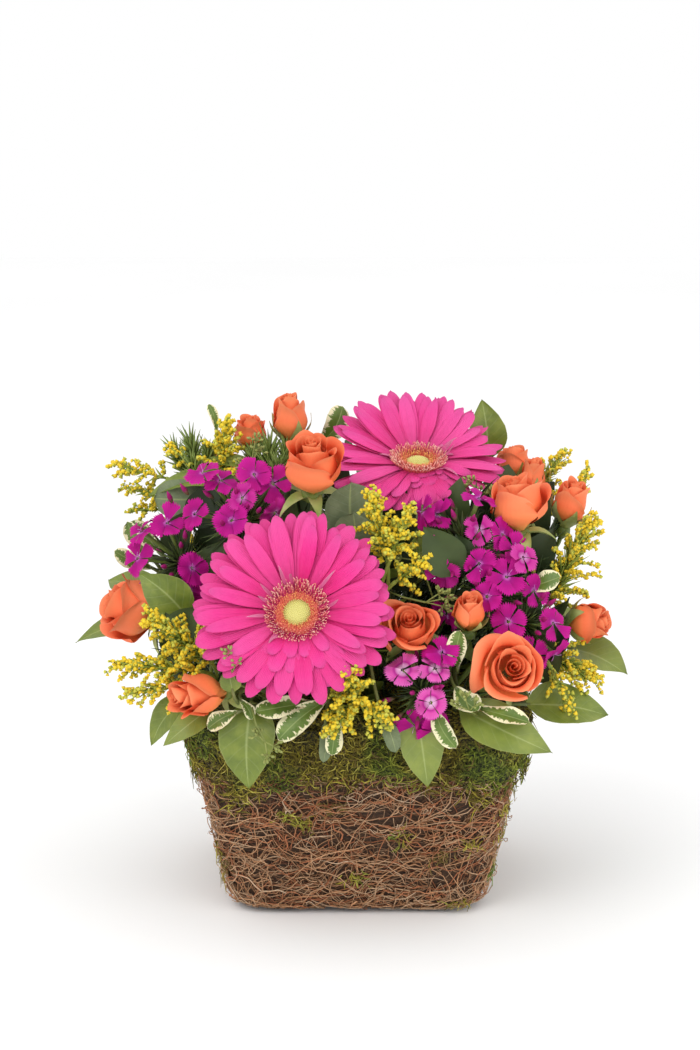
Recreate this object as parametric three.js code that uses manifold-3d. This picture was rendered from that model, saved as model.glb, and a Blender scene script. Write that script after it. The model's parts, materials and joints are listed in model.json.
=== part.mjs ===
// A flower basket: a square vine basket with a moss collar and a plastic liner, and in it a block of floral foam
// that holds the stems of gerberas, spray roses, sweet williams, goldenrod and cut foliage.
// Millimetres, +Z up, origin at the middle of the basket's underside, the front is towards -Y.
import * as THREE from "three";
import { mergeVertices } from "three/addons/utils/BufferGeometryUtils.js";
import Module from "manifold-3d";

const wasm = await Module();
wasm.setup();

// Driving dimensions
const gap = 0.35; // clearance between pieces that touch
const basket = {
  foot: 57, base: 61.5, top: 82, height: 97, wall: 6, floor: 4, corner: 0.3, around: 48,
  rows: [6, 13, 20, 27, 34, 41, 48, 55], // heights at which the wall's relief is cut
};
const vine = {
  relief: 1.9, sunk: 0.9,
  runs: [[7, 23], [-6, 19], [11, -31], [-13, 15], [3, 9]], // each one's turns round the basket and its pitch
};
const moss = {
  low: 63, waist: 78, shoulder: 92, high: 104, bulge: 5, clear: 2.3, inward: 9, lump: 1.6, around: 36,
};
const liner = { base: 52, top: 70, floor: 1.6, wall: 1.4, height: 90, around: 16 };
const foam = { half: 46, top: 117, chamfer: 9 };
const gerbera = {
  petals: 18, backNotch: 0.55, frontShare: 0.84, frontNotch: 0.6, petalThick: 1, rootRadius: 16, seatRadius: 12,
  crown: [[0, 0.75], [11.4, 0.75], [14, 3], [13.2, 5], [10.4, 5.8], [7.6, 4.4], [5.5, 5.6], [0, 6.6]],
  cup: [[0, -14], [2.4, -14], [5, -10], [7.4, -4.35], [0, -4.35]], neck: 13,
};
const sepals = { count: 5, open: 7, drop: 6, cup: 6.5, thick: 0.8 };
const floret = { petals: 5, radius: 8.4, notch: 0.42, thick: 0.8, tube: 0.62, tubeRadius: 1.3 };
const leafThick = 0.8;
const needleRadius = 1;
// Radii of the cut stems in the foam and of the branches that carry the flowers
const stemRadius = { gerbera: 3, rose: 2, sweetWilliam: 1.8, goldenrod: 1.5, leaf: 1.5 };
const branchRadius = { gerbera: 2.6, rose: 1.1, sweetWilliam: 1.3, goldenrod: 1, leaf: 0.9 };
const heart = new THREE.Vector3(0, 0, 66); // every stem points at this place inside the foam
const stemStart = 30; // how far from the heart a stem's cut end is
const golden = Math.PI * (3 - Math.sqrt(5));

const colours = {
  vine: 0x7a5540, moss: 0x6f7530, liner: 0x2f2f2c, foam: 0x3f6b45,
  gerbera: 0xee3f94, disc: 0xdba45a, rose: 0xee7344, sweetWilliam: 0xad1a8c,
  goldenrod: 0xe3c52c, stem: 0x6d8a45,
  salal: 0x6f9546, eucalyptus: 0x72866c, pittosporum: 0x97a868, tuft: 0x557a34,
};

// Where each flower starts (the top of its stem) and the way it faces
const gerberas = [
  { name: "gerbera_front", at: [-28, -97, 158], facing: [-0.06, -0.86, 0.5], radius: 46.5, lift: 6, droop: 0 },
  { name: "gerbera_top", at: [29.5, -20, 216], facing: [0.04, -0.45, 0.9], radius: 42, lift: 11, droop: 3 },
];

// open: 0 for a tight bud, 1 for a full bloom
const roses = {
  rose_01: { at: [-34, 0, 222], facing: [-0.1, -0.1, 1], width: 18, height: 25, open: 0.3 },
  rose_02: { at: [-54, 4, 217], facing: [-0.15, 0, 1], width: 18, height: 18, open: 0.4 },
  rose_03: { at: [-23, -53, 206], facing: [-0.05, -0.3, 0.95], width: 28, height: 28, open: 0.3 },
  rose_04: { at: [-97, -30, 141], facing: [-0.9, -0.25, 0.32], width: 32, height: 27, open: 0.5 },
  rose_05: { at: [-61, -88, 117], facing: [-0.85, -0.5, 0.08], width: 21, height: 27, open: 0.45 },
  rose_06: { at: [26, -74, 140], facing: [-0.02, -0.75, 0.66], width: 27, height: 22, open: 0.7 },
  rose_07: { at: [52, -80, 146], facing: [0.05, -0.35, 0.93], width: 16, height: 18, open: 0 },
  rose_08: { at: [69, -84, 126], facing: [0.14, -0.9, 0.4], width: 34, height: 20, open: 1 },
  rose_09: { at: [101.5, -38, 139], facing: [0.93, -0.3, 0.12], width: 22, height: 22, open: 0.3 },
  rose_10: { at: [77, -46, 188], facing: [-0.08, -0.35, 0.93], width: 30, height: 26, open: 0.4 },
  rose_11: { at: [101.5, -14, 184], facing: [0.25, -0.1, 0.96], width: 20, height: 24, open: 0.3 },
  rose_12: { at: [86, -3, 195.5], facing: [0.05, 0, 1], width: 14, height: 19, open: 0 },
  rose_13: { at: [76, 14, 199], facing: [-0.1, 0.1, 1], width: 19, height: 19, open: 0.3 },
  rose_14: { at: [-60, 54, 186], facing: [-0.42, 0.5, 0.76], width: 27, height: 23, open: 0.6 },
  rose_15: { at: [34, 82, 168], facing: [0.2, 0.78, 0.6], width: 29, height: 22, open: 0.8 },
};

const roseSprays = [
  { name: "rose_spray_crown", fork: [-26, -12, 150], roses: ["rose_01", "rose_02", "rose_03"] },
  { name: "rose_spray_left", fork: [-52, -44, 112], roses: ["rose_04", "rose_05"] },
  { name: "rose_spray_middle", fork: [28, -52, 118], roses: ["rose_06", "rose_07"] },
  { name: "rose_spray_right", fork: [58, -44, 112], roses: ["rose_08", "rose_09"] },
  { name: "rose_spray_high", fork: [54, -6, 140], roses: ["rose_10", "rose_11", "rose_12", "rose_13"] },
  { name: "rose_spray_back", fork: [-8, 48, 128], roses: ["rose_14", "rose_15"] },
];

const heads = {
  sweet_william_01: { at: [-54, -44, 190], facing: [-0.2, -0.55, 0.8], radius: 22, florets: 7 },
  sweet_william_02: { at: [-84, -38, 168], facing: [-0.72, -0.45, 0.53], radius: 18, florets: 5 },
  sweet_william_03: { at: [50, -54, 180], facing: [0.05, -0.8, 0.6], radius: 18, florets: 5 },
  sweet_william_04: { at: [63, -60, 157], facing: [0.25, -0.9, 0.35], radius: 16, florets: 4 },
  sweet_william_05: { at: [78, -62, 144], facing: [0.6, -0.75, 0.3], radius: 17, florets: 4 },
  sweet_william_06: { at: [30, -86, 117], facing: [0.1, -0.97, 0.2], radius: 15, florets: 5 },
  sweet_william_07: { at: [-22, 66, 178], facing: [-0.1, 0.62, 0.78], radius: 20, florets: 5 },
  sweet_william_08: { at: [76, 56, 148], facing: [0.66, 0.62, 0.42], radius: 20, florets: 5 },
};

const headStems = [
  { name: "sweet_william_stem_left", fork: [-52, -30, 134], heads: ["sweet_william_01", "sweet_william_02"] },
  { name: "sweet_william_stem_right", fork: [40, -40, 138], heads: ["sweet_william_03", "sweet_william_04"] },
  { name: "sweet_william_stem_low", fork: [40, -52, 104], heads: ["sweet_william_05", "sweet_william_06"] },
  { name: "sweet_william_stem_back", fork: [16, 38, 118], heads: ["sweet_william_07", "sweet_william_08"] },
];

// Plumes of goldenrod: from, to, and how far the side branches reach
const goldenrods = [
  { name: "goldenrod_high_left", fork: [-62, -2, 160], plumes: [
    { from: [-66, -10, 203], to: [-64, -12, 231], reach: 17 },
    { from: [-94, -4, 198], to: [-118, -4, 210], reach: 13 },
    { from: [-92, -2, 186], to: [-112, -4, 190], reach: 10 },
  ] },
  { name: "goldenrod_low_left", fork: [-66, -56, 112], plumes: [
    { from: [-74, -76, 130], to: [-98, -86, 150], reach: 17 },
    { from: [-78, -80, 124], to: [-112, -86, 127], reach: 15 },
    { from: [-70, -82, 132], to: [-70, -90, 150], reach: 12 },
  ] },
  { name: "goldenrod_middle", fork: [6, -52, 136], plumes: [
    { from: [13, -74, 174], to: [9, -76, 208], reach: 15 },
    { from: [14, -76, 168], to: [29, -84, 182], reach: 10 },
  ] },
  { name: "goldenrod_low_front", fork: [2, -62, 104], plumes: [
    { from: [-2, -90, 111], to: [-3, -107, 130], reach: 15 },
    { from: [1, -91, 110], to: [14, -107, 110], reach: 12 },
  ] },
  { name: "goldenrod_right", fork: [62, -22, 112], plumes: [
    { from: [92, -30, 146], to: [112, -30, 186], reach: 19 },
    { from: [88, -46, 128], to: [112, -62, 118], reach: 15 },
    { from: [98, -4, 176], to: [118, 4, 206], reach: 11 },
  ] },
  { name: "goldenrod_back", fork: [-52, 44, 112], plumes: [
    { from: [-74, 64, 140], to: [-96, 82, 166], reach: 18 },
    { from: [-60, 72, 128], to: [-62, 100, 136], reach: 16 },
  ] },
];

// Leaves: where each starts and ends, its width, and the way its upper side looks
const foliage = [
  { name: "salal_front_left", kind: "salal", fork: [-44, -60, 104], leaves: [
    { from: [-50, -85, 112], to: [-51, -94, 72], width: 27, face: [0, -0.95, 0.3] },
    { from: [-80, -74, 112], to: [-103, -70, 88], width: 14, face: [-0.4, -0.8, 0.4] },
    { from: [-68, -86, 110], to: [-91, -94, 85], width: 13, face: [-0.3, -0.9, 0.3] },
  ] },
  { name: "salal_front_right", kind: "salal", fork: [46, -62, 98], leaves: [
    { from: [28, -88, 108], to: [33, -94, 73], width: 21, face: [0, -0.95, 0.3] },
    { from: [48, -88, 110], to: [91, -99, 91], width: 25, face: [0.1, -0.75, 0.65] },
    { from: [80, -74, 108], to: [120, -62, 99], width: 23, face: [0.1, -0.6, 0.8] },
  ] },
  { name: "salal_left", kind: "salal", fork: [-66, -16, 112], leaves: [
    { from: [-104, -16, 132], to: [-139, -14, 123], width: 15, face: [-0.2, -0.5, 0.85] },
    { from: [-80, -58, 146], to: [-104, -54, 168], width: 22, face: [-0.35, -0.85, 0.3] },
    { from: [-104, 10, 140], to: [-126, 26, 146], width: 24, face: [-0.5, 0, 0.85] },
  ] },
  { name: "salal_crown", kind: "salal", fork: [-6, 12, 150], leaves: [
    { from: [-58, -20, 206], to: [-102, -16, 197], width: 18, face: [0, -0.4, 0.9] },
    { from: [61, 27, 212], to: [60, 31, 243], width: 18, face: [0.1, -0.98, 0.1] },
    { from: [-30, 30, 206], to: [-40, 46, 226], width: 22, face: [-0.2, 0.6, 0.7] },
  ] },
  { name: "salal_right", kind: "salal", fork: [64, 4, 110], leaves: [
    { from: [104, -28, 124], to: [131, -42, 114], width: 22, face: [0.3, -0.6, 0.75] },
    { from: [100, 24, 122], to: [126, 40, 120], width: 24, face: [0.5, 0, 0.85] },
    { from: [92, 46, 116], to: [116, 62, 106], width: 22, face: [0.4, 0.4, 0.8] },
  ] },
  { name: "salal_back", kind: "salal", fork: [10, 60, 106], leaves: [
    { from: [14, 88, 118], to: [10, 116, 96], width: 25, face: [0, 0.7, 0.7] },
    { from: [50, 82, 116], to: [70, 104, 98], width: 23, face: [0.3, 0.7, 0.6] },
    { from: [-32, 88, 118], to: [-46, 112, 96], width: 24, face: [-0.2, 0.7, 0.6] },
    { from: [2, 84, 150], to: [-4, 104, 168], width: 24, face: [0, 0.8, 0.6] },
  ] },
  { name: "eucalyptus", kind: "eucalyptus", fork: [2, -20, 150], leaves: [
    { from: [-4, -52, 176], to: [-2, -60, 198], width: 20, face: [0, -0.95, 0.3] },
    { from: [-6, -42, 188], to: [-12, -50, 190], width: 17, face: [0, -0.9, 0.4] },
    { from: [0, 20, 200], to: [-6, 36, 214], width: 22, face: [0, 0.7, 0.7] },
  ] },
  { name: "pittosporum_front", kind: "pittosporum", fork: [-18, -60, 102], leaves: [
    { from: [-20, -90, 113], to: [-46, -99, 111], width: 11, face: [0.1, -0.75, 0.65] },
    { from: [-16, -91, 110], to: [-37, -101, 98], width: 13, face: [0, -0.8, 0.6] },
    { from: [-10, -91, 106], to: [-12, -99, 90], width: 9, face: [0.3, -0.9, 0.3] },
  ] },
  { name: "pittosporum_right", kind: "pittosporum", fork: [44, -48, 124], leaves: [
    { from: [47, -84, 128], to: [48, -90, 148], width: 10, face: [-0.3, -0.9, 0.2] },
    { from: [46, -90, 120], to: [56, -101, 112], width: 12, face: [0, -0.8, 0.6] },
    { from: [80, -56, 160], to: [96, -66, 168], width: 11, face: [0, -0.8, 0.6] },
  ] },
  { name: "pittosporum_left", kind: "pittosporum", fork: [-70, -6, 128], leaves: [
    { from: [-100, -16, 166], to: [-112, -22, 186], width: 9, face: [-0.4, -0.9, 0] },
    { from: [-101, -9, 160], to: [-119, -16, 170], width: 9, face: [-0.3, -0.9, 0.2] },
    { from: [-98, 6, 164], to: [-114, 14, 178], width: 11, face: [-0.6, 0, 0.8] },
  ] },
];

const tufts = { fork: [-40, -14, 150], needles: 6, sprigs: [
  { at: [-78, -4, 200], facing: [-0.15, 0, 1], reach: 22 },
  { at: [-44, -10, 202], facing: [0, -0.1, 1], reach: 19 },
] };

const v3 = (list) => new THREE.Vector3(...list);
const unit = (list) => v3(list).normalize();
const up = new THREE.Vector3(0, 0, 1);
const fullTurn = 2 * Math.PI;
const times = (count, make) => Array.from({ length: count }, (_, i) => make(i));

// The matrix that stands a flower, modelled along +Z, at its place
function seat(at, facing, spin = 0) {
  const turn = new THREE.Quaternion().setFromUnitVectors(up, unit(facing));
  turn.multiply(new THREE.Quaternion().setFromAxisAngle(up, spin));
  return new THREE.Matrix4().compose(v3(at), turn, new THREE.Vector3(1, 1, 1));
}

// A point of a flower's own frame, in the basket's frame
const placed = (point, at, facing) => v3(point).applyMatrix4(seat(at, facing)).toArray();

// A closed geometry as a solid whose faces point out
function solidOf(geometry) {
  const bare = new THREE.BufferGeometry().setAttribute("position", geometry.getAttribute("position"));
  if (geometry.index) bare.setIndex(geometry.index);
  const merged = mergeVertices(bare, 1e-3);
  const index = merged.index.array;
  const corners = [];
  for (let i = 0; i < index.length; i += 3) {
    const [a, b, c] = [index[i], index[i + 1], index[i + 2]];
    if (a !== b && b !== c && c !== a) corners.push([a, b, c]);
  }
  const build = (faces) => new wasm.Manifold(new wasm.Mesh({
    numProp: 3, vertProperties: merged.attributes.position.array, triVerts: new Uint32Array(faces.flat()),
  }));
  const solid = build(corners);
  return solid.volume() > 0 ? solid : build(corners.map(([a, b, c]) => [a, c, b]));
}

function geometryOf(faces) {
  const points = faces.flatMap((corner) => corner.toArray());
  return new THREE.BufferGeometry().setAttribute("position", new THREE.Float32BufferAttribute(points, 3));
}

// The faces between rings of points in turn; a ring of one point is a tip
function bands(rings, ringAfter) {
  const n = Math.max(...rings.map((ring) => ring.length));
  const faces = [];
  rings.forEach((ring, i) => {
    const next = ringAfter(i);
    if (!next) return;
    for (let j = 0; j < n; j++) {
      const [a, b] = [ring[j % ring.length], ring[(j + 1) % ring.length]];
      const [c, d] = [next[(j + 1) % next.length], next[j % next.length]];
      if (a !== b) faces.push(a, b, c);
      if (c !== d) faces.push(a, c, d);
    }
  });
  return faces;
}

// A body through rings of points, closed at both ends
function loft(rings) {
  const faces = bands(rings, (i) => rings[i + 1]);
  const [first, last] = [rings[0], rings[rings.length - 1]];
  for (let j = 1; j < first.length - 1; j++) faces.push(first[0], first[j + 1], first[j]);
  for (let j = 1; j < last.length - 1; j++) faces.push(last[0], last[j], last[j + 1]);
  return solidOf(geometryOf(faces));
}

// A body through rings that run round and meet their start
const hoop = (rings) => solidOf(geometryOf(bands(rings, (i) => rings[(i + 1) % rings.length])));

// A level ring of points
function ring(sides, radius, height, turned = 0) {
  return times(sides, (j) => {
    const turn = (fullTurn * j) / sides + turned;
    return new THREE.Vector3(radius * Math.cos(turn), radius * Math.sin(turn), height);
  });
}

// A blade: rows of points across it, thickened, with both faces split into triangles alike
function blade(rows, thickness) {
  const [ends, sides] = [rows.length - 1, rows[0].length - 1];
  const offset = (i, j) => {
    const along = rows[Math.min(i + 1, ends)][j].clone().sub(rows[Math.max(i - 1, 0)][j]);
    const across = rows[i][Math.min(j + 1, sides)].clone().sub(rows[i][Math.max(j - 1, 0)]);
    return across.cross(along).normalize().multiplyScalar(thickness / 2);
  };
  const top = rows.map((row, i) => row.map((p, j) => p.clone().add(offset(i, j))));
  const low = rows.map((row, i) => row.map((p, j) => p.clone().sub(offset(i, j))));
  const faces = [];
  const quad = (a, b, c, d) => faces.push(a, b, c, a, c, d);
  for (let i = 0; i < ends; i++) {
    for (let j = 0; j < sides; j++) {
      quad(top[i][j], top[i][j + 1], top[i + 1][j + 1], top[i + 1][j]);
      faces.push(low[i][j], low[i + 1][j + 1], low[i][j + 1], low[i][j], low[i + 1][j], low[i + 1][j + 1]);
    }
    quad(low[i][0], top[i][0], top[i + 1][0], low[i + 1][0]);
    quad(top[i][sides], low[i][sides], low[i + 1][sides], top[i + 1][sides]);
  }
  for (let j = 0; j < sides; j++) {
    quad(low[0][j], low[0][j + 1], top[0][j + 1], top[0][j]);
    quad(top[ends][j], top[ends][j + 1], low[ends][j + 1], low[ends][j]);
  }
  return solidOf(geometryOf(faces));
}

// A round rod along a curve
function rod(curve, radius, sides, steps) {
  const section = new THREE.Shape(times(sides, (j) => {
    const turn = (fullTurn * j) / sides;
    return new THREE.Vector2(radius * Math.cos(turn), radius * Math.sin(turn));
  }));
  return solidOf(new THREE.ExtrudeGeometry(section, { steps, extrudePath: curve, bevelEnabled: false }));
}

// A turned body on the Z axis, from pairs of radius and height
const turned = (profile, sides) =>
  solidOf(new THREE.LatheGeometry(profile.map(([r, z]) => new THREE.Vector2(r, z)), sides).rotateX(Math.PI / 2));

const moved = (solid, matrix) => solid.transform(matrix.elements);

const model = new THREE.Group();
const standing = []; // the finished nodes' solids, in place

// True if a solid, in place, keeps its distance from every finished node
function clear(solid) {
  const box = solid.boundingBox();
  return standing.every((other) => {
    const { min, max } = other.box;
    const apart = [0, 1, 2].some((k) => box.min[k] > max[k] + gap || box.max[k] < min[k] - gap);
    return apart || solid.minGap(other.solid, 1) >= gap * 0.85;
  });
}

// Joins the parts of a node into one body, without loose scraps, and adds it at its place
function addNode(name, parts, colour, matrix = new THREE.Matrix4()) {
  const bodies = wasm.Manifold.union(parts).decompose().sort((a, b) => b.volume() - a.volume());
  const solid = bodies[0].simplify(0.06);
  const { numVert, numProp, vertProperties, triVerts } = solid.getMesh();
  const points = times(numVert, (i) => [...vertProperties.subarray(i * numProp, i * numProp + 3)]).flat();
  const geometry = new THREE.BufferGeometry();
  geometry.setAttribute("position", new THREE.Float32BufferAttribute(points, 3));
  geometry.setIndex(new THREE.BufferAttribute(triVerts, 1));
  const looks = { color: colour, roughness: 0.7, metalness: 0, flatShading: true };
  const material = new THREE.MeshStandardMaterial(looks);
  const piece = new THREE.Mesh(geometry, material);
  piece.name = name;
  piece.applyMatrix4(matrix);
  model.add(piece);
  const inPlace = moved(solid, matrix);
  standing.push({ name, solid: inPlace, box: inPlace.boundingBox() });
}

// A square with round corners, as a ring of points
const corner = basket.corner;
const roundSquare = new THREE.Shape()
  .moveTo(0, -1)
  .lineTo(1 - corner, -1)
  .absarc(1 - corner, corner - 1, corner, -Math.PI / 2, 0)
  .absarc(1 - corner, 1 - corner, corner, 0, Math.PI / 2)
  .absarc(corner - 1, 1 - corner, corner, Math.PI / 2, Math.PI)
  .absarc(corner - 1, corner - 1, corner, Math.PI, 1.5 * Math.PI)
  .lineTo(0, -1);

function squareRing(half, height, count, raised = () => 0) {
  return roundSquare.getSpacedPoints(count).slice(0, count).map((p, j) => {
    const reach = half + raised(j / count);
    return new THREE.Vector3(p.x * reach, p.y * reach, height);
  });
}

const wallHalf = (z) => THREE.MathUtils.lerp(basket.base, basket.top, z / basket.height);

// How far the crossing runs of vine stand out, at a share of the way round and a height
function vineRelief(t, z) {
  const heights = vine.runs.map(([turns, pitch], i) => Math.sin(fullTurn * (turns * t + z / pitch) + 1.7 * i));
  return vine.relief * Math.max(...heights) ** 3 - vine.sunk;
}

function makeBasket() {
  const { around, foot, height, wall, floor, rows } = basket;
  addNode("vine_basket", [loft([
    squareRing(foot, 0, around),
    ...rows.map((z) => squareRing(wallHalf(z), z, around, (t) => vineRelief(t, z))),
    squareRing(wallHalf(height), height, around),
    squareRing(wallHalf(height) - wall, height, around),
    squareRing(wallHalf(floor) - wall, floor, around),
  ])], colours.vine);
}

function makeMoss() {
  const { low, waist, shoulder, high, bulge, around } = moss;
  const rim = basket.height + gap;
  const side = (z) => wallHalf(z) + moss.clear + gap;
  const inner = wallHalf(basket.height) - moss.inward;
  const wave = (turns) => Math.sin(fullTurn * turns);
  const lump = (k) => (t) => moss.lump * (wave(9 * t + 0.37 * k) + 0.75 * wave(17 * t - 0.21 * k));
  addNode("moss_collar", [hoop([
    squareRing(side(low), low, around),
    squareRing(side(low) + 3.2, low + 1, around, lump(1)),
    squareRing(side(waist) + bulge, waist, around, lump(2)),
    squareRing(side(shoulder) + bulge - 1, shoulder, around, lump(3)),
    squareRing(side(basket.height) + 1, high - 2, around, lump(4)),
    squareRing(wallHalf(basket.height) - 4, high, around),
    squareRing(inner, high - 2, around),
    squareRing(inner, rim, around),
    squareRing(side(basket.height), rim, around),
  ])], colours.moss);
}

function makeLiner() {
  const { base, top, floor, wall, height, around } = liner;
  const low = basket.floor + gap;
  addNode("plastic_liner", [loft([
    squareRing(base, low, around),
    squareRing(top, height, around),
    squareRing(top - wall, height, around),
    squareRing(base - wall, low + floor, around),
  ])], colours.liner);
}

const stemHoles = []; // one plain hole in the foam for each stem

// A stem from its cut end in the foam, straight to its fork
function mainStem(fork, radius) {
  const way = v3(fork).sub(heart).normalize();
  const start = heart.clone().addScaledVector(way, stemStart);
  const beyond = heart.clone().addScaledVector(way, stemStart + 80);
  const below = heart.clone().addScaledVector(way, stemStart - 0.5);
  stemHoles.push(rod(new THREE.LineCurve3(below, beyond), radius + gap + 0.1, 5, 1));
  return rod(new THREE.LineCurve3(start, v3(fork)), radius, 5, 1);
}

// A branch that carries on from its fork and bends until it meets a flower from behind
function branch(fork, at, facing, radius, sides = 4, steps = 3) {
  const [start, end] = [v3(fork), v3(at)];
  const length = end.distanceTo(start);
  const way = start.clone().sub(heart).normalize();
  return rod(new THREE.CubicBezierCurve3(
    start.clone().addScaledVector(way, -2),
    start.clone().addScaledVector(way, length * 0.25),
    end.clone().addScaledVector(unit(facing), -length * 0.35),
    end), radius, sides, steps);
}

// The rim of a flower cut into petals: each has a notch and two shoulders
function petalRim(petals, radius, notch, height, turned = 0) {
  const outline = [[-0.5, notch], [-0.22, 1], [0.22, 1]];
  return times(petals, (i) => outline.map(([turn, reach]) => {
    const angle = ((i + turn + turned) * fullTurn) / petals;
    const r = radius * (reach < 1 ? reach : 1 + 0.03 * Math.sin(2.4 * i));
    return new THREE.Vector3(r * Math.cos(angle), r * Math.sin(angle), height(r, angle));
  })).flat();
}

function makeGerbera({ name, at, facing, radius, lift, droop }) {
  const { petals, petalThick: thick, rootRadius, seatRadius } = gerbera;
  const rise = (low, share) => (r, angle) => {
    const front = Math.max(0, -Math.sin(angle));
    return low + (lift * share - droop * front) * (r / radius) ** 2;
  };
  const back = (low) => petalRim(petals, radius, gerbera.backNotch, rise(low, 0.7));
  const front = (low) => petalRim(petals, radius * gerbera.frontShare, gerbera.frontNotch, rise(low, 1.5), 0.5);
  const foot = [new THREE.Vector3(0, 0, -4)];
  const between = ring(petals * 3, rootRadius, -0.4, -0.5 * Math.PI / petals);
  const seatRing = ring(petals * 3, seatRadius, 0.4);
  addNode(name + "_petals",
    [loft([foot, back(-1.6 - thick), back(-1.6), between, front(0.4 - thick), front(0.4), seatRing])],
    colours.gerbera, seat(at, facing));
  addNode(name + "_disc", [turned(gerbera.crown, 14)], colours.disc, seat(at, facing));
}

function makeGerberaStem({ name, at, facing }) {
  const neck = v3(placed([0, 0, -gerbera.neck], at, facing));
  const fork = heart.clone().lerp(neck, 0.62).toArray();
  const cup = moved(turned(gerbera.cup, 8), seat(at, facing));
  const stalk = branch(fork, neck.toArray(), facing, branchRadius.gerbera, 6);
  addNode(name + "_stem", [mainStem(fork, stemRadius.gerbera), stalk, cup], colours.stem);
}

// One whorl of a rose: each petal starts inside the one before it and ends outside the next
function whorl(petals, radius, height, scallop, turned = 0) {
  return times(petals, (i) => [-1, 0, 1].map((side) => {
    const angle = ((i + 0.54 * side + turned) * fullTurn) / petals;
    const r = radius * (1 + 0.06 * side);
    return new THREE.Vector3(r * Math.cos(angle), r * Math.sin(angle), height - scallop * Math.abs(side));
  })).flat();
}

function makeRose(name, { at, facing, width, height, open }) {
  const bud = open === 0;
  const petals = bud ? 3 : width > 23 ? 5 : 4;
  const w = width / 2;
  const h = height;
  const round = (radius, z, turned) =>
    ring(petals * 3, radius, z, (fullTurn * (turned - 1 / 3)) / petals);
  const rim = w * (0.8 + 0.2 * open);
  const closed = [round(0.3 * w, 0, 0), whorl(petals, w, 0.4 * h, 0), whorl(petals, 0.72 * w, 0.82 * h, 1.2),
    round(0.25 * w, h, 0)];
  const bloom = [
    round(0.3 * w, 0, 0),
    whorl(petals, 0.9 * w, 0.42 * h, 0),
    whorl(petals, rim, 0.92 * h, 0.14 * h),
    round(0.62 * w, 0.55 * h, 0),
    whorl(petals, 0.56 * w, h, 0.08 * h, 0.5),
    round(0.34 * w, 0.74 * h, 0.5),
    round(0.22 * w, 0.98 * h, 0.8),
  ];
  addNode(name, [loft(bud ? closed : bloom)], colours.rose, seat(at, facing, height));
}

// The green cup and five sepals under a rose: open ones turn down and a bud's clasp it
function calyx({ at, facing, width, height, open }) {
  const clasp = open === 0;
  const tip = clasp
    ? { r: 0.66 * width, z: 0.3 * height }
    : { r: 0.3 * width + sepals.open, z: -sepals.drop };
  const corners = 2 * sepals.count;
  const star = (z) => times(corners, (j) => {
    const sepal = j % 2 === 0;
    const turn = (fullTurn * j) / corners;
    const r = sepal ? tip.r : 0.17 * width;
    return new THREE.Vector3(r * Math.cos(turn), r * Math.sin(turn), (sepal ? tip.z : -3) + z);
  });
  const cup = [ring(corners, 1.5, -sepals.cup), star(-sepals.thick), star(0), ring(corners, 0.14 * width, -gap)];
  return moved(loft(cup), seat(at, facing, width));
}

function makeRoseSpray({ name, fork, roses: own }) {
  const parts = own.flatMap((key) => {
    const rose = roses[key];
    const foot = placed([0, 0, -5.5], rose.at, rose.facing);
    return [branch(fork, foot, rose.facing, branchRadius.rose, 3), calyx(rose)];
  });
  addNode(name, [mainStem(fork, stemRadius.rose), ...parts], colours.stem);
}

// A sweet william floret: five fan petals round a low throat, on its tube
function floretOn(tube) {
  const rim = (z) => petalRim(floret.petals, floret.radius, floret.notch, () => z);
  const throat = loft([ring(3, 0.6 * floret.tubeRadius, -tube), ring(3, floret.tubeRadius, 0)]);
  return [loft([rim(-floret.thick / 2), rim(floret.thick / 2)]), throat];
}

function makeHead(name, { at, facing, radius, florets }) {
  const place = seat(at, facing);
  const parts = [turned([[0, 0], [0.42, 0.1], [0.42, 0.44], [0, 0.6]].map(([r, z]) => [r * radius, z * radius]), 6)];
  times(florets, (i) => {
    const tilt = Math.sqrt((i + 0.3) / florets) * 1.15;
    const turn = i * golden;
    const way = [Math.sin(tilt) * Math.cos(turn), Math.sin(tilt) * Math.sin(turn), Math.cos(tilt)];
    const reach = radius * (i % 2 ? 0.86 : 1);
    const matrix = seat(way.map((x) => x * reach), way, 1.3 * i);
    const made = floretOn(radius * floret.tube).map((piece) => moved(piece, matrix));
    if (made.every((piece) => clear(moved(piece, place)))) parts.push(...made);
  });
  addNode(name, parts, colours.sweetWilliam, place);
}

function makeHeadStem({ name, fork, heads: own }) {
  const parts = own.map((key) => {
    const head = heads[key];
    return branch(fork, placed([0, 0, -gap], head.at, head.facing), head.facing, branchRadius.sweetWilliam);
  });
  addNode(name, [mainStem(fork, stemRadius.sweetWilliam), ...parts], colours.stem);
}

// A side twig of goldenrod: a row of small heads on a thin stalk
const beads = (length) => [[0, -1], [2, 0.34 * length], [0.8, 0.55 * length], [1.8, 0.8 * length], [0, length]];

function makeGoldenrod({ name, fork, plumes }) {
  const parts = [mainStem(fork, stemRadius.goldenrod)];
  plumes.forEach(({ from, to, reach }, p) => {
    const [start, end] = [v3(from), v3(to)];
    const length = end.distanceTo(start);
    const way = end.clone().sub(start).normalize();
    const side = way.clone().cross(Math.abs(way.z) > 0.9 ? new THREE.Vector3(0, 1, 0) : up).normalize();
    parts.push(branch(fork, from, way.toArray(), branchRadius.goldenrod, 3, 2));
    const foot = start.clone().addScaledVector(way, -1.5);
    parts.push(rod(new THREE.LineCurve3(foot, end), 0.9 * branchRadius.goldenrod, 3, 1));
    const twigs = reach > 14 ? 4 : 3;
    times(twigs, (i) => {
      const share = i / (twigs - 1);
      const out = side.clone().applyAxisAngle(way, i * golden + p).multiplyScalar(1 - 0.5 * share)
        .addScaledVector(way, 0.5 + 0.5 * share);
      const root = start.clone().addScaledVector(way, length * (0.12 + 0.86 * share));
      const twig = moved(turned(beads(reach * (1 - 0.35 * share)), 3), seat(root.toArray(), out.toArray()));
      if (clear(twig)) parts.push(twig);
    });
  });
  addNode(name, parts, colours.goldenrod);
}

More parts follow.
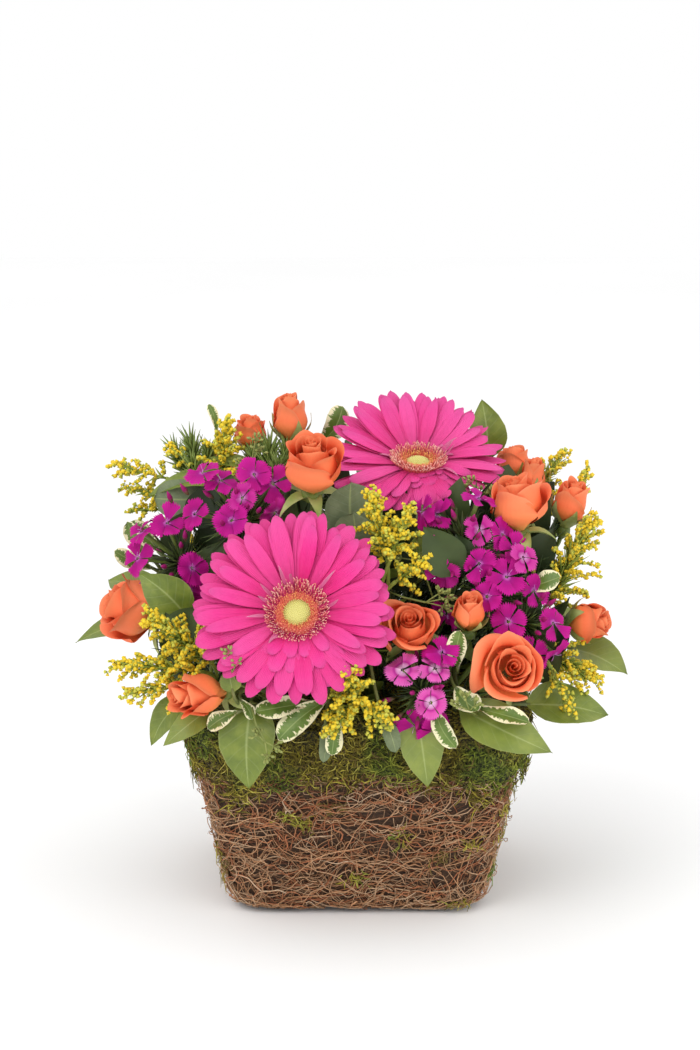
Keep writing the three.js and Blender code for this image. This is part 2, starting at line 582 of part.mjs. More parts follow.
// How wide a leaf is along its length
const outlines = {
  salal: [[0, 0.1], [0.26, 0.88], [0.66, 0.88], [1, 0.06]],
  eucalyptus: [[0, 0.14], [0.24, 0.86], [0.72, 0.92], [1, 0.24]],
  pittosporum: [[0, 0.14], [0.36, 0.72], [0.76, 1], [1, 0.2]],
};

// A leaf, bowed along its length and folded up a little on its midrib
function leafBlade({ from, to, width, face }, kind) {
  const [start, end, look] = [v3(from), v3(to), unit(face)];
  const along = end.clone().sub(start);
  const across = along.clone().cross(look).normalize();
  const bow = along.length() * 0.1;
  const wave = kind === "pittosporum" ? 0.06 * width : 0;
  return blade(outlines[kind].map(([share, spread], i) =>
    (kind === "salal" ? [-1, 0, 1] : [-1, 1]).map((side) => {
      const fold = side ? 0.08 * width * spread + (i % 2 ? wave : -wave) : 0;
      return start.clone().addScaledVector(along, share)
        .addScaledVector(look, bow * Math.sin(Math.PI * share) + fold)
        .addScaledVector(across, (side * width * spread) / 2);
    })), leafThick);
}

function makeFoliage({ name, kind, fork, leaves }) {
  const parts = [mainStem(fork, stemRadius.leaf)];
  leaves.forEach((leaf) => {
    const along = v3(leaf.to).sub(v3(leaf.from)).normalize();
    const foot = v3(leaf.from).addScaledVector(along, 2);
    parts.push(branch(fork, foot.toArray(), along.toArray(), branchRadius.leaf, 3, 2), leafBlade(leaf, kind));
  });
  addNode(name, parts, colours[kind]);
}

function makeTufts() {
  const { fork, sprigs, needles } = tufts;
  const parts = [mainStem(fork, stemRadius.leaf)];
  sprigs.forEach(({ at, facing, reach }) => {
    parts.push(branch(fork, at, facing, branchRadius.leaf, 3));
    times(needles, (i) => {
      const tilt = 0.2 + 0.95 * Math.sqrt(i / needles);
      const turn = i * golden;
      const way = [Math.sin(tilt) * Math.cos(turn), Math.sin(tilt) * Math.sin(turn), Math.cos(tilt)];
      const cone = new THREE.ConeGeometry(needleRadius, reach + 1, 3, 1).rotateX(Math.PI / 2);
      const needle = solidOf(cone.translate(0, 0, reach / 2 - 1));
      const piece = moved(moved(needle, seat([0, 0, -2 * i], way)), seat(at, facing));
      if (clear(piece)) parts.push(piece);
    });
  });
  addNode("narrow_foliage", parts, colours.tuft);
}

function makeFoam() {
  const { half, top, chamfer } = foam;
  const low = basket.floor + liner.floor + 2 * gap;
  const cutSquare = (h, z) => times(8, (j) => {
    const [long, short] = [h, h - chamfer];
    const corner = [[short, -long], [long, -short], [long, short], [short, long]][j % 4];
    return new THREE.Vector3(j < 4 ? corner[0] : -corner[0], j < 4 ? corner[1] : -corner[1], z);
  });
  const block = loft([cutSquare(half, low), cutSquare(half, top - chamfer), cutSquare(half - chamfer, top)]);
  addNode("floral_foam", [block.subtract(wasm.Manifold.union(stemHoles))], colours.foam);
}

makeBasket();
makeMoss();
makeLiner();
gerberas.forEach(makeGerbera);
Object.entries(roses).forEach(([name, rose]) => makeRose(name, rose));
gerberas.forEach(makeGerberaStem);
roseSprays.forEach(makeRoseSpray);
Object.entries(heads).forEach(([name, head]) => makeHead(name, head));
headStems.forEach(makeHeadStem);
foliage.forEach(makeFoliage);
goldenrods.forEach(makeGoldenrod);
makeTufts();
makeFoam();

export default model;
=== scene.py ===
import json
import bpy
import numpy as np
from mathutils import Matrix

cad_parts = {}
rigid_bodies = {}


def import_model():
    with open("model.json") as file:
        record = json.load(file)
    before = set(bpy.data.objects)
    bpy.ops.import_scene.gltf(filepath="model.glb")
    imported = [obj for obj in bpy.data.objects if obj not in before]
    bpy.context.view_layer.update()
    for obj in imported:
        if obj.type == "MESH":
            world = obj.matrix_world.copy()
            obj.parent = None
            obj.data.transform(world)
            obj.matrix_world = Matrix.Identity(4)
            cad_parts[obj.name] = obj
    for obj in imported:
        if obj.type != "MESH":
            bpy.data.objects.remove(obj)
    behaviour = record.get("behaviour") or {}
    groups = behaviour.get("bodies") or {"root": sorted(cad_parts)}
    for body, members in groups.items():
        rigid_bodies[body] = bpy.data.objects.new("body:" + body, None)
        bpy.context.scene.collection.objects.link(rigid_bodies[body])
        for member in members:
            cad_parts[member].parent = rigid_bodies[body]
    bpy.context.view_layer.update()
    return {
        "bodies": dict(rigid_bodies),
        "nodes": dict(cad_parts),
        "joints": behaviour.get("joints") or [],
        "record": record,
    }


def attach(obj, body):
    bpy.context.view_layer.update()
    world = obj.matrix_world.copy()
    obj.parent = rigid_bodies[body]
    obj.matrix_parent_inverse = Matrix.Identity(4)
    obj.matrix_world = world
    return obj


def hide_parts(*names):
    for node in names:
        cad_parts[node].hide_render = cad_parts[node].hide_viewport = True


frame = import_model()

mm = 0.001
fullTurn = 2 * np.pi
golden = np.pi * (3 - 5 ** 0.5)
heart = np.array([0.0, 0.0, 66.0])  # the place in the foam that every stem points at


# Small helpers

def unit(v):
    # v over its length
    return v / np.maximum(np.linalg.norm(v, axis=-1, keepdims=True), 1e-9)


def ease(x, low, high):
    # 0 below low, 1 above high, and 3t^2 - 2t^3 between
    t = np.clip((x - low) / (high - low), 0, 1)
    return t * t * (3 - 2 * t)


def turnTo(facing):
    # The shortest turn that takes +Z to facing, as matrices with the turned axes for columns
    x, y, z = np.moveaxis(unit(np.atleast_2d(np.asarray(facing, float))), -1, 0)
    w = 1 / (1 + np.maximum(z, -0.999))
    rows = [[1 - x * x * w, -x * y * w, x], [-x * y * w, 1 - y * y * w, y], [-x, -y, z]]
    return np.moveaxis(np.array(rows), -1, 0)


def spin(angle):
    # A turn by angle round +Z that takes a blade's own +Y, its length, to that bearing
    angle = np.atleast_1d(np.asarray(angle, float))
    s, c, o = np.sin(angle), np.cos(angle), np.zeros_like(angle)
    rows = [[s, c, o], [-c, s, o], [o, o, o + 1]]
    return np.moveaxis(np.array(rows), -1, 0)


def place(points, turns, at):
    # points of each copy, turned by its matrix and moved to its place
    turns, at = np.asarray(turns, float), np.atleast_2d(np.asarray(at, float))
    if turns.ndim == 2:
        turns = turns[None]
    moved = np.einsum("nij,n...j->n...i", np.broadcast_to(turns, (len(points), 3, 3)), points)
    return moved + at.reshape((-1,) + (1,) * (points.ndim - 2) + (3,))


def carry(points, turns, at):
    # A whole set of shapes, turned and moved as one
    return place(points.reshape(1, -1, 3), turns, at).reshape(points.shape)


def polar(r, bearing, z):
    # (r*cos(bearing), r*sin(bearing), z)
    return np.stack(np.broadcast_arrays(r * np.cos(bearing), r * np.sin(bearing), z), -1)


def perStrand(values):
    # One value for each strand, as a column beside the strand's steps
    return values[:, None]


def blade(rows, cols, length, half, shape, slope, cup, groove=None):
    # Grid of (u, v): x = u*half*shape(v), the midline climbs at angle slope(v), edges stand cup*u^2 off it
    column = lambda value: np.reshape(np.atleast_1d(np.asarray(value, float)), (-1, 1, 1))
    v = (1 - (1 - np.linspace(0, 1, rows)) ** 1.5)[None, :, None]
    u = np.linspace(-1, 1, cols)[None, None, :]
    length, half, cup = column(length), column(half), column(cup)
    count = max(len(length), len(half), len(cup), len(np.atleast_1d(slope(v))))
    climb = np.broadcast_to(slope(v), (count, rows, 1))
    middle = 0.5 * (climb[:, 1:] + climb[:, :-1])
    step = length * np.diff(v, axis=1)
    start = np.zeros((count, 1, 1))
    along = np.concatenate([start, np.cumsum(step * np.cos(middle), axis=1)], axis=1)
    rise = np.concatenate([start, np.cumsum(step * np.sin(middle), axis=1)], axis=1)
    off = cup * u ** 2 * shape(v) * half
    if groove is not None:
        off = off + groove(u, v)
    x = np.broadcast_to(u * half * shape(v), (count, rows, cols))
    off = np.broadcast_to(off, (count, rows, cols))
    return np.stack([x, along - np.sin(climb) * off, rise + np.cos(climb) * off], axis=-1)


def newBag():
    # Points and faces that become one mesh, and four values for each point that its material reads
    return {"points": [], "quads": [], "tris": [], "along": [], "across": [], "tone": [], "kind": [], "size": 0}


def addGrid(bag, points, tone=0.5, kind=0.0, ring=False, loop=False, tips=None, ends=(True, True)):
    # Copies of a grid, (copies, rows, columns, 3), as quads; a ring joins its last column to its first, a loop
    # its last row to its first, and tips close a ring's ends with fans
    points = np.asarray(points, float)
    if points.ndim == 3:
        points = points[None]
    count, rows, cols, _ = points.shape
    index = np.arange(count * rows * cols).reshape(count, rows, cols) + bag["size"]
    left = index if ring else index[:, :, :-1]
    right = np.roll(index, -1, axis=2) if ring else index[:, :, 1:]
    if loop:
        quads = np.stack([left, right, np.roll(right, -1, axis=1), np.roll(left, -1, axis=1)], axis=-1)
    else:
        quads = np.stack([left[:, :-1], right[:, :-1], right[:, 1:], left[:, 1:]], axis=-1)
    bag["quads"].append(quads.reshape(-1, 4))
    full = lambda value: np.broadcast_to(np.reshape(np.asarray(value, float), (-1, 1, 1)), index.shape).ravel()
    bag["points"].append(points.reshape(-1, 3))
    bag["along"].append(np.broadcast_to(np.linspace(0, 1, rows)[None, :, None], index.shape).ravel())
    bag["across"].append(np.broadcast_to(np.linspace(-1, 1, cols)[None, None, :], index.shape).ravel())
    bag["tone"].append(full(tone))
    bag["kind"].append(full(kind))
    bag["size"] += index.size
    if tips is None:
        return
    flat = lambda value: np.broadcast_to(np.reshape(np.asarray(value, float), (-1,)), (count,))
    for which, tip in enumerate(tips):
        if not ends[which]:
            continue
        point = bag["size"] + np.arange(count)[:, None]
        a, b = left[:, -which], right[:, -which]
        point = np.broadcast_to(point, a.shape)
        fan = [a, b, point] if which else [b, a, point]
        bag["tris"].append(np.stack(fan, axis=-1).reshape(-1, 3))
        bag["points"].append(np.reshape(tip, (count, 3)))
        bag["along"].append(np.full(count, float(which)))
        bag["across"].append(np.zeros(count))
        bag["tone"].append(flat(tone))
        bag["kind"].append(flat(kind))
        bag["size"] += count


def addTube(bag, path, radius, sides=6, tone=0.5, kind=0.0):
    # A round section of the given radius carried along each path, (copies, steps, 3), closed at both ends
    path = np.asarray(path, float)
    if path.ndim == 2:
        path = path[None]
    count, steps, _ = path.shape
    ahead = unit(np.gradient(path, axis=1))
    whole = np.abs(unit(path[:, -1] - path[:, 0]))
    out = np.eye(3)[np.argmin(whole, axis=1)][:, None, :]
    side = unit(np.cross(out, ahead))
    over = np.cross(ahead, side)
    radius = np.broadcast_to(np.asarray(radius, float), (count, steps))[:, :, None, None]
    turn = (fullTurn * np.arange(sides) / sides)[None, None, :, None]
    ring = path[:, :, None] + radius * (np.cos(turn) * side[:, :, None] + np.sin(turn) * over[:, :, None])
    addGrid(bag, ring, tone, kind, ring=True, tips=(path[:, 0], path[:, -1]))


def addTurned(bag, profile, sides, turns, at, tone=0.5, kind=0.0):
    # A profile of (radius, height) pairs turned round +Z, closed at both ends, one copy for each place
    profile = np.asarray(profile, float)
    if profile.ndim == 2:
        profile = profile[None]
    turn = (fullTurn * np.arange(sides) / sides)[None, None, :]
    r, z = profile[:, :, 0:1], profile[:, :, 1:2]
    ring = polar(r, turn, z)
    count = max(len(np.atleast_2d(at)), len(profile))
    ring = np.broadcast_to(ring, (count,) + ring.shape[1:])
    ends = np.stack([np.zeros_like(profile[:, [0, -1], 0])] * 2 + [profile[:, [0, -1], 1]], -1)
    ends = place(np.broadcast_to(ends, (count, 2, 3)), turns, at)
    addGrid(bag, place(ring, turns, at), tone, kind, ring=True, tips=(ends[:, 0], ends[:, 1]))


def pieceName(node, ending=""):
    # The node's words run together in camelCase, with an ending for what the piece shows
    first, *others = node.split("_")
    return first + "".join(word.capitalize() for word in others) + ending


def addObject(name, data):
    # A new object in the scene
    thing = bpy.data.objects.new(name, data)
    bpy.context.scene.collection.objects.link(thing)
    return thing


def makePiece(name, bag, material, replaces):
    # A mesh in metres from a bag in millimetres, with along, across, tone and kind for its material
    mesh = bpy.data.meshes.new(name)
    points = np.concatenate(bag["points"]) * mm
    faces = []
    for key in ("quads", "tris"):
        if bag[key]:
            faces += np.concatenate(bag[key]).tolist()
    mesh.from_pydata(points.tolist(), [], faces)
    mesh.polygons.foreach_set("use_smooth", np.ones(len(faces), bool))
    for key in ("along", "across", "tone", "kind"):
        values = np.concatenate(bag[key]).astype(np.float32)
        mesh.attributes.new(key, "FLOAT", "POINT").data.foreach_set("value", values)
    mesh.materials.append(material)
    mesh.update()
    piece = addObject(name, mesh)
    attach(piece, "root")
    if replaces:
        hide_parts(*replaces)
    print(name, "faces", len(faces), "triangles", sum(len(face) - 2 for face in faces))


# Materials: small node graphs on a Principled shader

black, white = (0, 0, 0), (255, 255, 255)


class Paint:
    # One material's graph, with short calls for the nodes that the finishes share
    def __init__(self, name, roughness=0.6, **sockets):
        self.material = bpy.data.materials.new(name)
        self.material.use_nodes = True
        self.nodes = self.material.node_tree.nodes
        self.links = self.material.node_tree.links
        self.shader = self.nodes["Principled BSDF"]
        self.shader.inputs["Roughness"].default_value = roughness
        for socket, value in sockets.items():
            self.shader.inputs[socket.replace("_", " ")].default_value = value

    def set(self, socket, value):
        # A link where the value is another node's socket, a constant otherwise
        if hasattr(value, "links"):
            self.links.new(value, socket)
        else:
            socket.default_value = value

    def attribute(self, name):
        node = self.nodes.new("ShaderNodeAttribute")
        node.attribute_name = name
        return node.outputs["Fac"]

    def noise(self, scale, detail, stretch=(1, 1, 1), rough=0.5):
        # Noise in the piece's own coordinates
        place = self.nodes.new("ShaderNodeTexCoord").outputs["Object"]
        mapping = self.nodes.new("ShaderNodeMapping")
        self.links.new(place, mapping.inputs["Vector"])
        mapping.inputs["Scale"].default_value = stretch
        node = self.nodes.new("ShaderNodeTexNoise")
        self.links.new(mapping.outputs["Vector"], node.inputs["Vector"])
        node.inputs["Scale"].default_value = scale
        node.inputs["Detail"].default_value = detail
        node.inputs["Roughness"].default_value = rough
        return node.outputs["Fac"]

    def leafNoise(self, along, across):
        # Noise in a blade's own coordinates, one pattern for each tone
        spot = self.nodes.new("ShaderNodeCombineXYZ")
        self.set(spot.inputs[0], self.math("MULTIPLY", self.attribute("along"), along))
        self.set(spot.inputs[1], self.math("MULTIPLY", self.attribute("across"), across))
        self.set(spot.inputs[2], self.math("MULTIPLY", self.attribute("tone"), 40.0))
        node = self.nodes.new("ShaderNodeTexNoise")
        self.links.new(spot.outputs[0], node.inputs["Vector"])
        node.inputs["Scale"].default_value = 1.0
        node.inputs["Detail"].default_value = 3.0
        return node.outputs["Fac"]

    def math(self, kind, a, b=0.0, c=0.0):
        node = self.nodes.new("ShaderNodeMath")
        node.operation = kind
        for socket, value in zip(node.inputs, (a, b, c)):
            self.set(socket, value)
        return node.outputs[0]

    def ramp(self, value, *stops):
        # Colours between stops of (value, colour)
        node = self.nodes.new("ShaderNodeValToRGB")
        band = node.color_ramp
        while len(band.elements) < len(stops):
            band.elements.new(0.5)
        for element, (position, colour) in zip(band.elements, stops):
            element.position = position
            element.color = (*linear(colour), 1)
        self.set(node.inputs["Fac"], value)
        return node.outputs["Color"]

    def mix(self, share, a, b):
        # a*(1 - share) + b*share
        node = self.nodes.new("ShaderNodeMix")
        node.data_type = "RGBA"
        self.set(node.inputs["Factor"], share)
        for socket, value in ((node.inputs[6], a), (node.inputs[7], b)):
            self.set(socket, (*linear(value), 1) if isinstance(value, tuple) else value)
        return node.outputs[2]

    def tint(self, colour, value, share, other):
        # The other colour over the first by value*share
        return self.mix(self.math("MULTIPLY", value, share), colour, other)

    def finish(self, colour, bump=None, distance=0.0, strength=0.0):
        # The colour goes to the shader, and a height to its normal through a bump of that distance
        self.set(self.shader.inputs["Base Color"], colour)
        if bump is not None:
            node = self.nodes.new("ShaderNodeBump")
            node.inputs["Strength"].default_value = strength
            node.inputs["Distance"].default_value = distance
            self.links.new(bump, node.inputs["Height"])
            self.links.new(node.outputs["Normal"], self.shader.inputs["Normal"])
        return self.material


def linear(colour):
    # sRGB values of 0 to 255 as linear ones: ((c + 0.055) / 1.055)^2.4
    c = np.asarray(colour, float) / 255
    return tuple(np.where(c < 0.04045, c / 12.92, ((c + 0.055) / 1.055) ** 2.4))


# Gerberas

gerbera = {
    # back and front: lift of the petals there in degrees, and curl: how far they bend on the way out
    # short: share of the front petals' reach that is kept, and trim: share that those at the right lose
    # turn: how far the front lies round, disc: scale of the disc, blunt: range of the power that rounds the tips
    "flowers": {
        "gerbera_front": {
            "at": (-28, -97, 158), "facing": (-0.06, -0.86, 0.5), "discFacing": (-0.06, -0.84, 0.54),
            "radius": 50.5, "back": 4, "front": -9, "curl": -12, "short": 0.88, "trim": 0.085,
            "turn": 0, "disc": 0.94, "blunt": (5, 12), "paler": 0, "seed": 11},
        "gerbera_top": {
            "at": (29.5, -20, 214.5), "facing": (0.04, -0.45, 0.9), "discFacing": (0.04, -0.34, 0.93),
            "radius": 46.5, "back": 19, "front": -17, "curl": -15, "short": 0.54, "trim": 0,
            "turn": 0.45, "disc": 0.84, "blunt": (3.5, 8), "paler": 0.5, "seed": 12},
    },
    # petals in a whorl, reach behind and in front, half width, height of the root, extra lift in degrees
    "whorls": [(23, 1.0, 1.0, 4.5, -1.6, -2), (23, 0.98, 0.84, 4.4, -0.7, 2), (22, 0.93, 0.67, 4.2, 0.2, 6),
               (16, 0.86, 0.5, 3.6, 1.0, 10)],
    "root": 9.5,  # radius at which the petals start
    "tiny": {"count": 9, "reach": 0.3, "half": 0.9, "radius": 13.2, "height": 1.2},  # thin petals at the disc
    "florets": {"count": 860, "spread": 14.2, "closed": 6.8},  # of the disc, closed ones up to a radius
    "under": {"count": 34, "radius": 8.5, "half": 1.6},  # bracts of the green cup
}


def gerberaPetals(flower):
    # Whorls of blades: the half width grows to v = 0.56 and rounds off as (1 - v^blunt)^0.55, the slope is
    # lift(bearing) + curl*v^2, and the reach runs from that behind to that in front
    draw = np.random.default_rng(flower["seed"])
    bag = newBag()
    turns = turnTo(flower["facing"])
    for number, (count, behind, before, half, root, lift) in enumerate(gerbera["whorls"]):
        bearing = fullTurn * (np.arange(count) + 0.5 * (number % 2) + draw.uniform(-0.16, 0.16, count)) / count
        front = -np.sin(bearing - flower["turn"])
        angle = np.where(front > 0, flower["front"] * front, -flower["back"] * front)
        angle = angle + lift + draw.normal(0, 2.5, count)
        ahead = before * (0.3 + 0.7 * flower["short"] if number == 1 else flower["short"])
        reach = behind + (ahead - behind) * ease(front, 0.3, 0.95)
        reach = reach * (1 - flower["trim"] * np.maximum(np.cos(bearing), 0) ** 2)
        long = (flower["radius"] * reach - gerbera["root"]) * draw.uniform(0.94, 1.03, count)
        curl = (flower["curl"] * (0.7 + 0.5 * front) + draw.normal(0, 4, count)) * (1 + 0.35 * number)
        slope = lambda v: np.radians(angle[:, None, None] + curl[:, None, None] * v ** 2 + 9 * (1 - v) ** 3)
        blunt = draw.uniform(*flower["blunt"], count)[:, None, None]
        shape = lambda v: (0.42 + 0.58 * ease(v, 0, 0.56)) * (1 - v ** blunt * 0.999) ** 0.55
        twist = draw.normal(0, 0.25, count)[:, None, None]
        groove = lambda u, v: 0.3 * np.cos(3 * np.pi * u) * ease(v, 0.05, 0.3) * (1 - v ** 6) + twist * u * v * 2.2
        cup = draw.uniform(-0.28, 0.05, count)
        petals = blade(15, 9, long, half * draw.uniform(0.9, 1.08, count), shape, slope, cup, groove)
        base = polar(gerbera["root"], bearing, root + draw.uniform(-0.3, 0.3, count))
        petals = carry(place(petals, spin(bearing), base), turns, flower["at"])
        addGrid(bag, petals, tone=flower["paler"] + draw.uniform(0, 1, count), kind=number / 3)
    tiny = gerbera["tiny"]
    count = tiny["count"]
    bearing = draw.uniform(0, fullTurn, count)
    angle, curl = draw.uniform(25, 60, count)[:, None, None], draw.uniform(-90, 60, count)[:, None, None]
    slope = lambda v: np.radians(angle + curl * v)
    shape = lambda v: 0.5 + 0.5 * np.sin(np.pi * np.clip(v, 0, 1)) - 0.48 * v ** 3
    long = flower["radius"] * tiny["reach"] * draw.uniform(0.5, 1, count)
    tips = blade(9, 3, long, tiny["half"], shape, slope, 0.5)
    tips = place(tips, spin(bearing), polar(tiny["radius"] * flower["disc"], bearing, tiny["height"]))
    addGrid(bag, carry(tips, turns, flower["at"]), tone=1.0, kind=1.5)
    return bag


def gerberaUnder(bag, flower):
    # The green cup under the petals: a turned body, and narrow bracts on a golden spiral round it
    turns, under = turnTo(flower["facing"]), gerbera["under"]
    addTurned(bag, [(2.6, -15), (4, -12.5), (8.5, -8), (10.5, -4), (9.5, -2.2)], 16, turns, flower["at"])
    count = under["count"]
    bearing = golden * np.arange(count)
    shape = lambda v: 1 - 0.9 * v
    slope = lambda v: np.radians(38 - 45 * v)
    bracts = blade(5, 3, np.linspace(10, 7, count), under["half"], shape, slope, -0.3)
    bracts = place(bracts, spin(bearing), polar(under["radius"], bearing, np.linspace(-7.6, -9, count)))
    addGrid(bag, carry(bracts, turns, flower["at"]), tone=0.3)


def gerberaDisc(flower):
    # Florets on a sunflower spiral, r = spread*sqrt(i/count), over a ring and a button: closed buds inside, and
    # outside them threads of length 2.4 to 3.9 that lean out more and more
    draw = np.random.default_rng(flower["seed"] + 50)
    bag = newBag()
    turns, at, scale = turnTo(flower["discFacing"]), flower["at"], flower["disc"]
    ring = [(8, -2), (11, -1), (12, 0.6), (10, 1.2), (7, 0.2), (6.4, 0)]
    button = [(6.6, -1.5), (6.9, 0), (6, 0.3), (4, 1.0), (1.5, 1.3)]
    addTurned(bag, np.array(ring) * (scale, 1), 28, turns, at, tone=1.0, kind=0.45)
    addTurned(bag, np.array(button) * (scale, 1), 24, turns, at, kind=0.0)
    count, spread, closed = (gerbera["florets"][key] for key in ("count", "spread", "closed"))
    order = np.arange(count)
    r = spread * np.sqrt((order + 0.5) / count)
    bearing = golden * order
    inner = r < closed
    dome = np.where(inner, 0.4 + 1.2 * (1 - (r / closed) ** 2), 0.7 + 1.0 * ease(r, closed, 11))
    lean = np.where(inner, 0.12 * r / closed, -0.1 + 0.75 * ease(r, 8, spread))
    way = polar(np.sin(lean), bearing, np.cos(lean))
    foot = polar(scale * r, bearing, dome - 0.6)
    buds = [(0.22, 0), (0.29, 0.75), (0.17, 1.15)]
    here = place(foot[inner][:, None], turns, at)[:, 0]
    addTurned(bag, buds, 6, turns @ turnTo(way[inner]), here, tone=draw.uniform(0, 1, inner.sum()), kind=0.0)
    outer = ~inner
    count = outer.sum()
    share = ease(r[outer], 8.5, 12)
    long = (2.4 + 1.5 * share + draw.uniform(-0.5, 0.6, count))[:, None, None]
    t = np.linspace(0, 1, 4)[None, :, None]
    side = np.stack([-np.sin(bearing), np.cos(bearing), 0 * bearing], -1)[outer][:, None]
    bend = draw.normal(0, 0.22, count)[:, None, None]
    path = foot[outer][:, None] + long * (way[outer][:, None] * t + side * bend * t ** 2)
    radius = 0.18 * (1 - 0.3 * t[..., 0]) + 0.12 * ease(t[..., 0], 0.85, 1)
    addTube(bag, carry(path, turns, at), radius, 3, tone=draw.uniform(0, 1, count), kind=0.3 + 0.6 * share)
    return bag


def pinkPetal():
    # Pink that pales to the tip, with painted shade on the lower whorls and a painted highlight at the tips, and fine
    # ribs along each petal; kind over 1 marks the thin petals at the disc
    paint = Paint("gerberaPetal", roughness=0.6, Specular_IOR_Level=0.2)
    along, across, tone, kind = (paint.attribute(key) for key in ("along", "across", "tone", "kind"))
    ribs = paint.math("MULTIPLY", paint.math("SINE", paint.math("MULTIPLY", across, 34.0)), 0.5)
    streak = paint.noise(260, 3)
    body = paint.ramp(along, (0.0, (206, 0, 92)), (0.25, (226, 14, 116)), (0.55, (236, 44, 142)),
                      (1.0, (240, 84, 168)))
    body = paint.tint(body, tone, 0.35, (244, 108, 182))
    # painted shade: the lower whorls, which lie under the upper ones, are darkened towards deep pink by (1 -
    # kind)*0.26
    under = paint.math("MULTIPLY", paint.math("SUBTRACT", 1.0, kind), 0.26)
    body = paint.mix(paint.math("MAXIMUM", under, 0.0), body, (208, 0, 96))
    # painted highlight: the outer end of each petal is lightened by along^12
    edge = paint.math("POWER", along, 12.0)
    body = paint.tint(body, edge, 0.35, (252, 128, 190))
    body = paint.tint(body, paint.math("ADD", ribs, 0.5), 0.26, (212, 14, 112))
    body = paint.tint(body, streak, 0.16, (252, 128, 188))
    pale = paint.math("MULTIPLY", paint.math("GREATER_THAN", kind, 1.2), paint.math("MULTIPLY", along, 0.85))
    body = paint.mix(pale, body, (255, 178, 204))
    return paint.finish(body, paint.math("ADD", ribs, paint.math("MULTIPLY", streak, 0.4)), 0.0003, 0.7)


def discPaint():
    # From root to tip, with colours that run from the green middle at kind 0 to the pale threads at kind 1
    paint = Paint("gerberaDisc", roughness=0.6)
    along, tone, kind = (paint.attribute(key) for key in ("along", "tone", "kind"))
    root = paint.ramp(kind, (0.0, (204, 200, 104)), (0.12, (180, 150, 70)), (0.28, (206, 66, 66)),
                      (0.6, (212, 54, 88)), (1.0, (206, 44, 100)))
    tip = paint.ramp(kind, (0.0, (240, 234, 154)), (0.12, (236, 214, 126)), (0.28, (255, 198, 110)),
                     (0.55, (252, 170, 124)), (1.0, (254, 208, 192)))
    body = paint.mix(along, root, tip)
    pinker = paint.math("MULTIPLY", paint.math("GREATER_THAN", tone, 0.5), paint.math("GREATER_THAN", kind, 0.25))
    body = paint.tint(body, pinker, 0.6, (232, 84, 92))
    return paint.finish(body)


def makeGerberas():
    # Petals and disc of each flower; the stems are made with those of the roses
    petal, disc = pinkPetal(), discPaint()
    for name, flower in gerbera["flowers"].items():
        makePiece(pieceName(name, "Petals"), gerberaPetals(flower), petal, [name + "_petals"])
        makePiece(pieceName(name, "Disc"), gerberaDisc(flower), disc, [name + "_disc"])
    print("gerberas made")


# Roses

rose = {
    # name: place of the base, facing, width, height, open (0 bud, 1 full bloom)
    "blooms": {
        "rose_01": ((-32, 0, 221), (-0.06, -0.1, 1), 20, 26, 0.15),
        "rose_02": ((-52, 4, 217), (-0.05, -0.15, 1), 19, 18, 0.4),
        "rose_03": ((-21.5, -53, 207.5), (-0.02, -0.42, 0.9), 32, 30, 0.4),
        "rose_04": ((-97, -31, 141), (-0.9, -0.25, 0.32), 36, 28, 0.5),
        "rose_05": ((-62.5, -88, 117.5), (-0.78, -0.6, 0.08), 22, 31, 0.7),
        "rose_06": ((24.5, -74, 140.5), (-0.02, -0.75, 0.66), 28.5, 22, 0.7),
        "rose_07": ((52, -80, 146), (0.05, -0.35, 0.93), 18, 19, 0),
        "rose_08": ((70.2, -84, 126), (0.14, -0.9, 0.4), 31.5, 20, 0.9),
        "rose_09": ((101.5, -38, 139), (0.93, -0.3, 0.12), 22, 22, 0.3),
        "rose_10": ((77, -46, 187), (-0.08, -0.12, 0.98), 33, 27, 0.3),
        "rose_11": ((101.5, -14, 182.5), (0.25, -0.1, 0.96), 20, 24, 0.2),
        "rose_12": ((86, -3, 193.5), (0.05, 0, 1), 16, 21, 0),
        "rose_13": ((79, 13, 198.5), (-0.1, 0.1, 1), 21, 19, 0.2),
        "rose_14": ((-60, 54, 186), (-0.42, 0.5, 0.76), 27, 23, 0.6),
        "rose_15": ((34, 82, 168), (0.2, 0.78, 0.6), 29, 22, 0.8),
    },
    # spray: its fork and its blooms
    "sprays": {
        "rose_spray_crown": ((-26, -12, 150), ["rose_01", "rose_02", "rose_03"]),
        "rose_spray_left": ((-52, -44, 112), ["rose_04", "rose_05"]),
        "rose_spray_middle": ((28, -52, 118), ["rose_06", "rose_07"]),
        "rose_spray_right": ((58, -44, 112), ["rose_08", "rose_09"]),
        "rose_spray_high": ((54, -6, 140), ["rose_10", "rose_11", "rose_12", "rose_13"]),
        "rose_spray_back": ((-8, 48, 128), ["rose_14", "rose_15"]),
    },
    # buds whose sepals lie on them, and how far up they reach
    "clasped": {"rose_01": 0.6, "rose_02": 0.5, "rose_07": 0.6, "rose_09": 0.6, "rose_11": 0.65, "rose_12": 0.75,
                "rose_13": 0.6},
    "core": {"turns": 2.6, "steps": 40, "rows": 8},
}


def roseCore(bag, turns, at, w, h, loose, draw):
    # A sheet rolled up in a spiral: r = w*share^1.2, a little wider half way up and at the rim
    core = rose["core"]
    share = np.linspace(0, 1, core["steps"])[None, :]
    v = np.linspace(0, 1, core["rows"])[:, None]
    turn = fullTurn * core["turns"] * share + draw.uniform(0, fullTurn)
    r = w * (0.03 + (0.21 + 0.03 * loose) * share ** 1.2) * (0.75 + 0.4 * np.sin(2.6 * v))
    r = r + 0.07 * w * ease(v, 0.75, 1) * (0.3 + share)
    z = h * (0.35 + v * (0.63 - 0.07 * share + 0.02 * np.sin(2.3 * turn)))
    addGrid(bag, place(polar(r, turn, z)[None], turns, at), tone=draw.uniform(0, 1))


